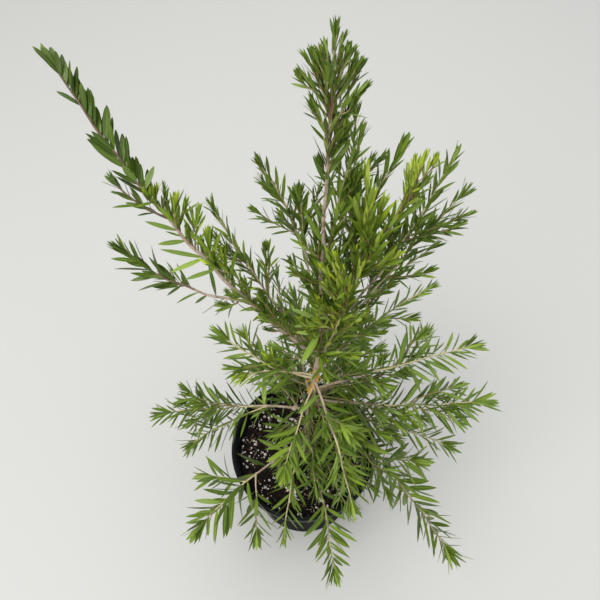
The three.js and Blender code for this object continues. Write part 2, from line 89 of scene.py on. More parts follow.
class Tree:
    """A node tree with short calls for placing and joining its nodes."""

    def __init__(self, tree: Group) -> None:
        """Wraps an existing tree."""
        self.tree = tree

    @classmethod
    def group(cls, name: str, kind: str, result: tuple[str, str], sockets: list[tuple]) -> tuple:
        """Makes a node group with named inputs and one output.

        Args:
            name: the group's name.
            kind: Shader or Geometry.
            result: the output's label and kind, such as Float or Geometry.
            sockets: label, kind and default of each input.

        Returns:
            The tree, and its inputs by label.
        """
        tree = cls(bpy.data.node_groups.new(name, f"{kind}NodeTree"))
        interface = tree.tree.interface
        for label, socket_kind, default in sockets:
            socket_type = f"NodeSocket{socket_kind}"
            item = interface.new_socket(name=label, in_out="INPUT", socket_type=socket_type)
            if default is not None:
                item.default_value = default
        interface.new_socket(name=result[0], in_out="OUTPUT", socket_type=f"NodeSocket{result[1]}")
        return tree, tree.add("NodeGroupInput").outputs

    @classmethod
    def growth(cls, name: str, sockets: list[tuple]) -> tuple:
        """Makes a Geometry Nodes tree with a geometry input and output and further named inputs."""
        given = [("Geometry", "Geometry", None), *sockets]
        return cls.group(name, "Geometry", ("Geometry", "Geometry"), given)

    def close(self, result: Socket) -> Group:
        """Leads a result to the group's output and gives the finished group."""
        self.feed(self.add("NodeGroupOutput").inputs[0], result)
        return self.tree

    def add(self, kind: str, feeds: dict | None = None, **settings: object) -> bpy.types.Node:
        """Adds a node.

        Args:
            kind: the node's type name.
            feeds: what goes into its inputs, by name or number: a socket to join, or a value.
            settings: properties of the node.

        Returns:
            The new node.
        """
        node = self.tree.nodes.new(kind)
        for name, value in settings.items():
            setattr(node, name, value)
        for key, value in (feeds or {}).items():
            self.feed(node.inputs[key], value)
        return node

    def feed(self, socket: Socket, value: object) -> None:
        """Feeds a node's input.

        Args:
            socket: the input.
            value: an output to join it to, or a plain value.
        """
        if isinstance(value, Socket):
            self.tree.links.new(value, socket)
        else:
            socket.default_value = value

    def math(self, operation: str, *values: object) -> Socket:
        """The result of a Math node."""
        return self.add("ShaderNodeMath", dict(enumerate(values)), operation=operation).outputs[0]

    def vector_math(self, operation: str, *values: object) -> Socket:
        """The vector result of a Vector Math node."""
        return self.add("ShaderNodeVectorMath", dict(enumerate(values)), operation=operation).outputs[0]

    def vector(self, x: object = 0.0, y: object = 0.0, z: object = 0.0) -> Socket:
        """A vector of three values."""
        return self.add("ShaderNodeCombineXYZ", {"X": x, "Y": y, "Z": z}).outputs[0]

    def part(self, vector: Socket, axis: str) -> Socket:
        """One value of a vector."""
        return self.add("ShaderNodeSeparateXYZ", {0: vector}).outputs[axis]

    def place(self) -> Socket:
        """The place on the object, in Object coordinates."""
        return self.add("ShaderNodeTexCoord").outputs["Object"]

    def clouds(self, place: Socket, scale: object, detail: object) -> Socket:
        """Cloudy noise, mostly between 0.3 and 0.7."""
        feeds = {"Vector": place, "Scale": scale, "Detail": detail}
        return self.add("ShaderNodeTexNoise", feeds).outputs["Fac"]

    def ramp(self, value: object, low: object, high: object) -> Socket:
        """Maps a value from between low and high to a smooth 0 to 1."""
        feeds = {"Value": value, "From Min": low, "From Max": high}
        return self.add("ShaderNodeMapRange", feeds, interpolation_type="SMOOTHSTEP").outputs["Result"]

    def mix(self, share: object, first: object, second: object) -> Socket:
        """Mixes two colours.

        Args:
            share: how much of the second there is, from 0 to 1.
            first: a colour or a socket.
            second: the same.

        Returns:
            The mixed colour.
        """
        node = self.add("ShaderNodeMix", data_type="RGBA")
        for number, value in ((0, share), (6, first), (7, second)):
            self.feed(node.inputs[number], value)
        return node.outputs[2]

    def attribute(self, name: str, kind: str) -> Socket:
        """A named value of each point or face."""
        feeds = {"Name": name}
        return self.add("GeometryNodeInputNamedAttribute", feeds, data_type=kind).outputs["Attribute"]

    def scatter(self, shapes: Socket, feeds: dict) -> Socket:
        """Puts one of a collection's shapes on each point.

        Args:
            shapes: the collection.
            feeds: the points, their rotation and scale, and which shape each one gets.

        Returns:
            The instances.
        """
        children = {"Collection": shapes, "Separate Children": True, "Reset Children": True}
        shape = self.add("GeometryNodeCollectionInfo", children).outputs[0]
        placed = {"Instance": shape, "Pick Instance": True, **feeds}
        return self.add("GeometryNodeInstanceOnPoints", placed).outputs[0]

    def realized(self, geometry: Socket, material: Socket) -> Socket:
        """Makes instances real and sets their material."""
        real = self.add("GeometryNodeRealizeInstances", {0: geometry}).outputs[0]
        return self.add("GeometryNodeSetMaterial", {0: real, "Material": material}).outputs[0]


# ---- Meshes and pieces ----


def linked(name: str, data: bpy.types.ID, material: Material | None = None) -> Object:
    """Makes an object at the origin and links it to the scene.

    Args:
        name: its name.
        data: its mesh, lamp or camera.
        material: its mesh's material, where it has one.

    Returns:
        The object.
    """
    if material:
        data.materials.append(material)
    piece = bpy.data.objects.new(name, data)
    bpy.context.scene.collection.objects.link(piece)
    return piece


def mesh_from(work: bmesh.types.BMesh, name: str) -> Mesh:
    """Turns a working mesh into a named one and frees it.

    Args:
        work: the working mesh.
        name: the new mesh's name.

    Returns:
        The new mesh.
    """
    mesh = bpy.data.meshes.new(name)
    work.to_mesh(mesh)
    work.free()
    return mesh


def evaluated(piece: Object) -> Mesh:
    """Makes the mesh that a piece has once its modifiers have run.

    Args:
        piece: the piece.

    Returns:
        The new mesh, with all its maps and values.
    """
    graph = bpy.context.evaluated_depsgraph_get()
    shown = piece.evaluated_get(graph)
    return bpy.data.meshes.new_from_object(shown, preserve_all_data_layers=True, depsgraph=graph)


def mark(mesh: Mesh, name: str, kind: str, values: list, domain: str = "POINT") -> None:
    """Gives each point, edge or face of a mesh a named value."""
    key = "vector" if kind == "FLOAT_VECTOR" else "value"
    mesh.attributes.new(name, kind, domain).data.foreach_set(key, values)


@contextmanager
def shape_set(name: str, meshes: list[Mesh]) -> Iterator[bpy.types.Collection]:
    """Holds shapes in a collection for as long as they are placed.

    Args:
        name: what each shape is.
        meshes: the shapes.

    Yields:
        The collection.
    """
    shapes = bpy.data.collections.new(name)
    for i, mesh in enumerate(meshes):
        shapes.objects.link(bpy.data.objects.new(f"{name}_{i}", mesh))
    yield shapes
    for shape in list(shapes.objects):
        bpy.data.objects.remove(shape)
    bpy.data.collections.remove(shapes)


def grown(name: str, mesh: Mesh, tree: Group, inputs: dict[str, object]) -> Object:
    """Runs a Geometry Nodes tree on a mesh and keeps the result as a plain mesh.

    Args:
        name: the new object's name.
        mesh: the mesh that goes in.
        tree: the Geometry Nodes tree.
        inputs: its inputs by label.

    Returns:
        An object at the origin that holds the result.
    """
    piece = linked(name, mesh)
    modifier = piece.modifiers.new("growth", "NODES")
    modifier.node_group = tree
    items = [item for item in tree.interface.items_tree if item.item_type == "SOCKET"]
    identifiers = {item.name: item.identifier for item in items if item.in_out == "INPUT"}
    for label, value in inputs.items():
        modifier[identifiers[label]] = value
    result = evaluated(piece)
    piece.modifiers.clear()
    piece.data = result
    result.name = name
    return piece


def seat(piece: Object, nodes: list[str]) -> None:
    """Puts a finished piece on the plant's body, in place of the frame's nodes.

    Args:
        piece: the finished piece.
        nodes: the nodes that it stands for.
    """
    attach(piece, ROOT_BODY)
    if nodes:
        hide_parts(*nodes)
    triangles = sum(len(face.vertices) - 2 for face in piece.data.polygons)
    log.info("%s: %d triangles, stands for %d nodes", piece.name, triangles, len(nodes))


# ---- Shader groups ----


class Effects:
    """The shader groups that more than one finish uses."""

    def __init__(self) -> None:
        """Builds each group once."""
        self.mottle = self._mottle()
        self.grain = self._grain()
        self.specks = self._specks()

    @staticmethod
    def _open(name: str, **inputs: float) -> tuple:
        """Starts a group with number inputs and one Mask output."""
        sockets = [(label, "Float", default) for label, default in inputs.items()]
        return Tree.group(name, "Shader", ("Mask", "Float"), sockets)

    def _mottle(self) -> Group:
        """Soft cloudy patches, from 0 to 1."""
        tree, given = self._open("mottle", Scale=40.0, Detail=3.0, Contrast=0.5)
        clouds = tree.clouds(tree.place(), given["Scale"], given["Detail"])
        half = tree.math("MULTIPLY", given["Contrast"], 0.5)
        low, high = tree.math("SUBTRACT", 0.5, half), tree.math("ADD", 0.5, half)
        return tree.close(tree.ramp(clouds, low, high))

    def _grain(self) -> Group:
        """Fine streaks drawn out along Z, from 0 to 1."""
        tree, given = self._open("grain", Scale=300.0, Stretch=0.2, Detail=4.0)
        drawn = tree.vector_math("MULTIPLY", tree.place(), tree.vector(1.0, 1.0, given["Stretch"]))
        return tree.close(tree.clouds(drawn, given["Scale"], given["Detail"]))

    def _specks(self) -> Group:
        """Small separate spots, 1 inside and 0 outside."""
        tree, given = self._open("specks", Scale=200.0, Size=0.2)
        cells = tree.add("ShaderNodeTexVoronoi", {"Vector": tree.place(), "Scale": given["Scale"]})
        soft_edge = tree.math("MULTIPLY", given["Size"], 0.6)
        return tree.close(tree.ramp(cells.outputs["Distance"], given["Size"], soft_edge))


class Finish:
    """A material under way: its tree, its shader and the calls that feed it."""

    def __init__(self, name: str, effects: Effects, roughness: float, specular: float = 0.5) -> None:
        """Starts a material with a plain Principled shader.

        Args:
            name: the material's name.
            effects: the shared shader groups.
            roughness: the shader's roughness, where nothing feeds it.
            specular: the shader's specular level.
        """
        self.material = bpy.data.materials.new(name)
        self.material.use_nodes = True
        self.tree = Tree(self.material.node_tree)
        self.effects = effects
        self.shader = self.material.node_tree.nodes["Principled BSDF"]
        self.set("Roughness", roughness)
        self.set("Specular IOR Level", specular)

    def set(self, name: str, value: object) -> None:
        """Feeds or sets one of the shader's inputs."""
        self.tree.feed(self.shader.inputs[name], value)

    def effect(self, group: Group, **values: float) -> Socket:
        """Places a shader group.

        Args:
            group: the group.
            values: its inputs by label.

        Returns:
            Its mask.
        """
        node = self.tree.add("ShaderNodeGroup", node_tree=group)
        for label, value in values.items():
            node.inputs[label].default_value = value
        return node.outputs["Mask"]

    def colour(self, share: object, first: object, second: object) -> None:
        """Mixes two colours into the base colour."""
        self.set("Base Color", self.tree.mix(share, first, second))

    def roughness(self, mask: Socket, low: float, high: float) -> None:
        """Lets a mask carry the roughness from low to high."""
        feeds = {"Value": mask, "To Min": low, "To Max": high}
        self.set("Roughness", self.tree.add("ShaderNodeMapRange", feeds).outputs["Result"])

    def bump(self, height: Socket, depth: float) -> None:
        """Feeds the normal from a height mask, depth metres deep."""
        feeds = {"Height": height, "Distance": depth, "Strength": 1.0}
        self.set("Normal", self.tree.add("ShaderNodeBump", feeds).outputs["Normal"])


def rgba(colour: Colour) -> tuple[float, float, float, float]:
    """A colour with full cover."""
    return (*colour, 1.0)


# ---- Finishes ----


@dataclass(frozen=True)
class LeafFinish:
    """One kind of leaf: its glossy upper face and its paler, duller underside."""

    name: str
    upper: Colour
    shade: Colour  # the darker green of its patches
    under: Colour
    vein: Colour
    sheen: Colour = (0.90, 1.0, 0.56)
    gloss: float = 0.36  # roughness of the upper face
    dullness: float = 0.2  # how much rougher the underside is
    rib_edges: Pair = (0.07, 0.02)  # the midrib's half width, as shares of the blade's
    rib_strength: float = 0.75
    fold_width: float = 0.09
    fold_depth: float = 0.0002

    def _dress(self, effects: Effects, side: str, base: Colour, patch: Colour, rough: float) -> Material:
        """Makes one face's material, with patches and a midrib that follow the blade.

        Args:
            effects: the shared shader groups.
            side: upper or under.
            base: the face's main colour.
            patch: the colour of its patches.
            rough: its roughness.

        Returns:
            The material.
        """
        finish = Finish(f"{self.name}_{side}", effects, rough)
        finish.set("Specular Tint", rgba(self.sheen))
        tree = finish.tree
        blade = tree.add("ShaderNodeUVMap", uv_map="blade").outputs["UV"]
        across = tree.math("ABSOLUTE", tree.math("SUBTRACT", tree.part(blade, "X"), 0.5))
        patches = finish.effect(effects.mottle, Scale=34.0, Detail=2.0, Contrast=0.5)
        body = tree.mix(patches, rgba(base), rgba(patch))
        rib = tree.math("MULTIPLY", tree.ramp(across, *self.rib_edges), self.rib_strength)
        finish.colour(rib, body, rgba(self.vein))
        finish.bump(tree.ramp(across, 0.0, self.fold_width), self.fold_depth)
        return finish.material

    def faces(self, effects: Effects) -> tuple[Material, Material]:
        """Makes the materials of the upper face and of the underside.

        Args:
            effects: the shared shader groups.

        Returns:
            The two materials.
        """
        middle = tuple((a + b) / 2 for a, b in zip(self.under, self.upper))
        upper = self._dress(effects, "upper", self.upper, self.shade, self.gloss)
        return upper, self._dress(effects, "under", self.under, middle, self.gloss + self.dullness)


@dataclass(frozen=True)
class StemFinish:
    """Young stems: smooth bark with patches of a second colour."""

    name: str
    base: Colour
    patch: Colour
    roughness: float = 0.6
    depth: float = 0.0003

    def make(self, effects: Effects) -> Material:
        """Makes the stem's material.

        Args:
            effects: the shared shader groups.

        Returns:
            The material.
        """
        finish = Finish(self.name, effects, self.roughness)
        patches = finish.effect(effects.mottle, Scale=90.0, Detail=3.0, Contrast=0.5)
        streaks = finish.effect(effects.grain, Scale=900.0, Stretch=0.25, Detail=2.0)
        finish.colour(patches, rgba(self.base), rgba(self.patch))
        finish.bump(streaks, self.depth)
        return finish.material


@dataclass(frozen=True)
class BarkFinish:
    """Old bark: grey-tan, fissured along the limb, with dark cracks and pale flakes."""

    name: str = "bark"
    base: Colour = (0.34, 0.25, 0.175)
    dark: Colour = (0.16, 0.11, 0.075)
    pale: Colour = (0.48, 0.40, 0.32)
    cracks: Pair = (0.36, 0.62)  # where the streaks go over from dark to base
    paling: float = 0.55
    flaking: float = 0.35
    roughness: float = 0.85
    depth: float = 0.0011

    def make(self, effects: Effects) -> Material:
        """Makes the bark's material.

        Args:
            effects: the shared shader groups.

        Returns:
            The material.
        """
        finish = Finish(self.name, effects, self.roughness, 0.3)
        tree = finish.tree
        streaks = finish.effect(effects.grain, Scale=420.0, Stretch=0.16, Detail=5.0)
        patches = finish.effect(effects.mottle, Scale=70.0, Detail=4.0, Contrast=0.4)
        flakes = finish.effect(effects.specks, Scale=330.0, Size=0.25)
        body = tree.mix(tree.ramp(streaks, *self.cracks), rgba(self.dark), rgba(self.base))
        body = tree.mix(tree.math("MULTIPLY", patches, self.paling), body, rgba(self.pale))
        finish.colour(tree.math("MULTIPLY", flakes, self.flaking), body, rgba(self.pale))
        finish.bump(streaks, self.depth)
        return finish.material


@dataclass(frozen=True)
class PlasticFinish:
    """Black moulded plastic: a dull wall, a satin lip, fine scuffs and a little dust."""

    lip_foot: float  # the level where the lip begins
    name: str = "black_plastic"
    base: Colour = (0.0052, 0.0060, 0.0078)
    dust: Colour = (0.13, 0.105, 0.08)
    dustiness: float = 0.6
    film: float = 0.018  # of dust, over all
    wear: float = 0.16
    wall_roughness: float = 0.84
    lip_roughness: float = 0.38
    blend: Pair = (0.004, 0.001)  # below and above the lip's foot
    depth: float = 0.00012

    def make(self, effects: Effects) -> Material:
        """Makes the pot's material.

        Args:
            effects: the shared shader groups.

        Returns:
            The material.
        """
        finish = Finish(self.name, effects, self.lip_roughness, 0.09)
        tree = finish.tree
        clouds = finish.effect(effects.mottle, Scale=16.0, Detail=6.0, Contrast=0.5)
        stipple = finish.effect(effects.mottle, Scale=900.0, Detail=2.0, Contrast=0.8)
        specks = finish.effect(effects.specks, Scale=210.0, Size=0.13)
        dusty = tree.math("MULTIPLY", tree.math("MULTIPLY", clouds, specks), self.dustiness)
        film = tree.math("ADD", dusty, tree.math("MULTIPLY", clouds, self.film))
        finish.colour(film, rgba(self.base), rgba(self.dust))
        low, high = self.lip_foot - self.blend[0], self.lip_foot + self.blend[1]
        lip = tree.ramp(tree.part(tree.place(), "Z"), low, high)
        worn = tree.math("MULTIPLY", tree.math("SUBTRACT", 1.0, clouds), self.wear)
        finish.roughness(tree.math("SUBTRACT", lip, worn), self.wall_roughness, self.lip_roughness)
        finish.bump(stipple, self.depth)
        return finish.material


@dataclass(frozen=True)
class GrainFinish:
    """The mix and what lies in it: rough matter in two colours."""

    name: str
    base: Colour
    patch: Colour
    scale: float = 260.0
    depth: float = 0.0008
    roughness: float = 0.95

    def make(self, effects: Effects) -> Material:
        """Makes the material of the mix or of one kind of grain.

        Args:
            effects: the shared shader groups.

        Returns:
            The material.
        """
        finish = Finish(self.name, effects, self.roughness, 0.2)
        patches = finish.effect(effects.mottle, Scale=self.scale, Detail=4.0, Contrast=0.35)
        finish.colour(patches, rgba(self.base), rgba(self.patch))
        finish.bump(patches, self.depth)
        return finish.material


# ---- Growth ----

LEAF_TURN = 137.5  # degrees round the stem, from one leaf to the next
FULL_TURN = 360
TIP_RADIUS = 0.0009
BOUGH_TIP_RADIUS = 0.0020  # of a bough that is bare to its end
KINK_DEPTH = 0.0012  # how far a stem's small kinks swing
KINK_LENGTH = 0.085
KINK_PACE, KINK_SHIFT = 1.4, 2.3  # how the kinks across and those up differ


class Dice:
    """Seeded numbers: the same seed always gives the same ones, from 0 up to 1."""

    MODULUS, FACTOR = 2147483647, 16807
    SEED_FACTOR, SEED_START = 7919, 104729

    def __init__(self, seed: int) -> None:
        """Starts from a whole number."""
        self.state = (seed * self.SEED_FACTOR + self.SEED_START) % self.MODULUS
        self.roll()

    def roll(self) -> float:
        """The next number."""
        self.state = (self.state * self.FACTOR) % self.MODULUS
        return self.state / self.MODULUS

    def spread(self, amount: float) -> float:
        """The next number, drawn out from minus to plus an amount."""
        return (2 * self.roll() - 1) * amount


def lerp(low: float, high: float, share: float) -> float:
    """The value at a share of the way from low to high."""
    return low + (high - low) * share


def clamp(value: float, low: float, high: float) -> float:
    """A value kept between two others."""
    return max(low, min(high, value))


def polar(heading: float, reach: float, height: float) -> Vector:
    """A point from its heading from +X towards +Y, its reach from the axis and its height."""
    angle = math.radians(heading)
    return Vector((reach * math.cos(angle), reach * math.sin(angle), height))


def lit_face(along: Vector, light: Vector) -> Vector:
    """The unit direction square to a leaf that faces a given one most."""
    return (light - along * light.dot(along)).normalized()


class Path:
    """A bowed line from a start to a tip, with its own directions across and up."""

    LEAST_SLOPE = 0.05  # from upright, for the line to have a side of its own

    def __init__(self, start: Vector, tip: Vector, arch: float = 0.0, sweep: float = 0.0) -> None:
        """Sets out the line.

        Args:
            start: where it begins.
            tip: where it ends.
            arch: how far its middle rises from the straight line.
            sweep: how far its middle moves to the left of its heading.
        """
        self.start = start
        self.span = tip - start
        self.length = self.span.length
        chord = self.span.normalized()
        side = UP.cross(chord)
        self.side = (side if side.length >= self.LEAST_SLOPE else Vector((1, 0, 0))).normalized()
        self.rise = chord.cross(self.side)
        self.bow = self.rise * arch + self.side * sweep
        self.wobble = self.phase = 0.0

    def point(self, t: float) -> Vector:
        """A point on the line, with the small kinks that a real stem has.

        Args:
            t: its place, as a share of the length.

        Returns:
            The point.
        """
        place = self.start + self.span * t + self.bow * (4 * t * (1 - t))
        if self.wobble:
            swing = self.wobble * math.sin(math.pi * clamp(t, 0, 1))
            waves = self.length / KINK_LENGTH
            across = 2 * math.pi * waves * t + self.phase
            up = 2 * math.pi * KINK_PACE * waves * t + KINK_SHIFT * self.phase
            place += self.side * (swing * math.sin(across))
            place += self.rise * (swing * math.sin(up))
        return place

    def direction(self, t: float) -> Vector:
        """The unit direction along the line at a share of the length."""
        return (self.span + self.bow * (4 * (1 - 2 * t))).normalized()

    def outward(self, t: float, angle: float) -> Vector:
        """A unit direction square to the line.

        Args:
            t: the place on the line, as a share of the length.
            angle: the direction's turn round the line, in radians.

        Returns:
            The direction.
        """
        along = self.direction(t)
        across = (self.side - along * self.side.dot(along)).normalized()
        return across * math.cos(angle) + along.cross(across) * math.sin(angle)


@dataclass(frozen=True)
class Manner:
    """The measures of a way of holding leaves. Angles are in degrees."""

    pitch: float  # along the stem, from one leaf to the next
    size: float  # leaf length, as a share of the shoot table's
    lean_root: float
    lean_tip: float
    lift: float  # how strongly a leaf turns up, or droops below zero
    spread: float  # how far leaves move round to the two sides of a level stem
    twist: float
    sun: float  # how strongly a leaf turns its face to the light
    breadth: float  # of a leaf, as a share of the blade's own width
    blades: tuple[int, int] = (0, 8)  # the first of its blades, and how many there are
    crest: float = 0.0  # share of the leaves that stand together on one side of the stem
    crest_turn: float = 165  # where round the stem that side is
    crest_spread: float = 50
    spur: float = 0.040  # length of its short leafy twigs


class Habit(Enum):
    """How a shoot holds its leaves."""

    # close to the stem
    BRUSH = Manner(0.0048, 0.92, 27, 11, 0.06, 0.0, 34, 1.2, 0.84)
    # turned up to the light
    RISING = Manner(0.0050, 0.94, 38, 19, 0.28, 0.1, 26, 2.0, 0.78)
    # to both sides of a low stem
    SPRAY = Manner(0.0052, 1.14, 54, 34, -0.06, 0.45, 24, 1.1, 0.70)
    # short, with the stem in sight
    FEATHER = Manner(0.0044, 0.84, 42, 22, 0.08, 0.15, 30, 1.0, 0.80)
    # broad, blunt and upright, mostly on one side
    BOLD = Manner(0.0048, 0.96, 40, 26, 0.10, 0.0, 30, 2.6, 1.08, (8, 3), 0.80)
    # very short and one-sided
    TUFT = Manner(0.0036, 0.54, 34, 14, 0.15, 0.0, 34, 1.6, 0.90, (0, 8), 0.85, 165, 55, 0.022)


class LeafKind(Enum):
    """The kinds of leaf by age. The darkest one is partly painted shade: a darker green that stands in
    for shade among the leaves.
    """

    # The darkest kind is a darker copy of the deep green: partly painted shade among the leaves.
    DARK_AND_SHADE = "dark"
    DEEP = "deep"
    GREEN = "green"
    FRESH = "fresh"
    YOUNG = "young"
    OLD = "old"


BRUSH, RISING, SPRAY = Habit.BRUSH, Habit.RISING, Habit.SPRAY
FEATHER, BOLD, TUFT = Habit.FEATHER, Habit.BOLD, Habit.TUFT
DARK_AND_SHADE, DEEP, GREEN = LeafKind.DARK_AND_SHADE, LeafKind.DEEP, LeafKind.GREEN
FRESH, YOUNG, OLD = LeafKind.FRESH, LeafKind.YOUNG, LeafKind.OLD

# How young a leaf may be to be of each kind. A younger one still is young.
# Below 0.10 a leaf is of the darkest kind, which is partly painted shade.
KIND_LIMITS = ((0.10, DARK_AND_SHADE), (0.32, DEEP), (0.60, GREEN), (0.86, FRESH))
OLD_TONE = 1.5  # the tone past which all leaves of a shoot are old


@dataclass(frozen=True)
class Look:
    """How a shoot is dressed, beyond what the shoot table says."""

    tone: float = 0.45  # from 0, deep green, to 1, young yellow-green; past 1.5 is old
    habit: Habit = SPRAY
    finer: int = 2  # further twigs on its leafy stretch
    spurs: int = 0  # short leafy twigs on its bare stretch
    stray: float = 0.022  # from one single leaf to the next on its bare stretch
    pitch: float = 1.0  # from leaf to leaf, as a share of the habit's
    breadth: float = 1.0  # of its leaves, as a share of the habit's
    size: float = 1.0  # of its leaves, as a share of the habit's
    ruddy: bool = False  # its young stem is reddish brown
    bare_habit: Habit | None = None  # how its bare stretch holds leaves, where that differs
    fresher: float = 0.0  # how much younger the leaves of its bare stretch are
    leafless: float = 0.0  # share of its stem, from the root, that holds no leaves


@dataclass(frozen=True)
class Shoot:
    """One row of the shoot table. Lengths are in metres, headings in degrees."""

    name: str
    parent: str
    at: float  # place along the parent, as a share
    heading: float
    reach: float
    height: float
    arch: float
    sweep: float
    girth: float  # diameter at the root
    bare: float  # share of the length that is a bare bough
    twigs: int
    leaf: float  # leaf length
    look: Look


LOOKS = {
    "leader": Look(0.38, BRUSH, 0, 4, 0.006, 1.0, 0.95),
    "leader_brush": Look(0.27, BRUSH, 2),
    "leader_left": Look(0.38, FEATHER, 1),
    "leader_right": Look(0.42, FEATHER, 1),
    # Tone 0 gives this shoot mostly the darkest two kinds of leaf, partly painted shade.
    "long_left": Look(0.0, BOLD, 0, 20, 0.005, ruddy=True, bare_habit=TUFT, fresher=0.44),
    "left_high": Look(0.14, FEATHER, 0, 0, 0.022, 0.85, 1.3, 1.2, True),
    "left_outer": Look(0.16, FEATHER, 0, 1, 0.012, 1.0, 1.25, 1.2, True),
    "left_inner": Look(0.44, FEATHER, 2, 2, 0.012),
    "left_short": Look(0.42, FEATHER, 1),
    "left_middle": Look(0.46, SPRAY, 1),
    "left_near": Look(0.68, SPRAY, 0),
    "upper_left": Look(0.32, FEATHER, 2, 2, 0.01),
    "upper_right": Look(0.32, FEATHER, 2, 2, 0.012),
    "right_bright": Look(0.6, BRUSH, 1, 3, 0.01, ruddy=True, breadth=0.9),
    "right_upright": Look(0.46, RISING, 3, 0, 0.022, 0.92, 1.1, 1.05),
    "right_upper": Look(0.34, FEATHER, 2, 2, 0.012, 0.85, 1.1, 1.05),
    "right_outer": Look(0.34, FEATHER, 1, 2, 0.012, 0.98, 1.05),
    "right_shoulder": Look(0.4, FEATHER, 1),
    "right_middle": Look(0.44, FEATHER, 0, 1, 0.014),
    "centre_front": Look(0.78, BRUSH, 2),
    "centre_upright": Look(0.78, BRUSH, 3, 0, 0.022, 0.85, size=1.1),
    "right_high_spread": Look(0.42, SPRAY, 1, 2, 0.01, 0.82, 0.95, 0.94),
    "right_spread": Look(0.46, SPRAY, 1, 2, 0.01, 0.85, 0.9),
    "right_low_spread": Look(0.42, SPRAY, 1),
    "front_right_arch": Look(0.5, SPRAY, 0, 2, 0.01, 0.74, 1.5),
    "front_right": Look(0.54, SPRAY, 1, 1, 0.014, 0.85, 1.2, 0.9),
    "front_near": Look(0.58, SPRAY, 0, 0, 0.014, 0.66, 1.45, 0.9, leafless=0.38),
    "front_low": Look(0.5, SPRAY, 0, 1, 0.022, 0.68, 1.35, 0.82),
    "front_hanging": Look(0.44, SPRAY, 0, 0, 0.022, 1.15, 1.1),
    "front_left_low": Look(0.38, SPRAY, 0, 0, 0.02, 0.75, 1.3),
    "front_left_side": Look(0.42, SPRAY, 0, 0, 0.022, 0.85, 1.25),
    "front_left_hanging": Look(0.4, SPRAY, 0, 0, 0.022, 0.85, 1.2),
    "left_low": Look(0.32, SPRAY, 0, 1, 0.012, 0.8),
    "left_low_side": Look(0.3, SPRAY, 0, 0, 0.022, 0.85),
    "back_left": Look(0.4, SPRAY, 2, 2, 0.014),
    "back_right": Look(0.4, SPRAY, 2, 2, 0.014),
    "back_high": Look(0.38),
    "back_low": Look(0.4),
}

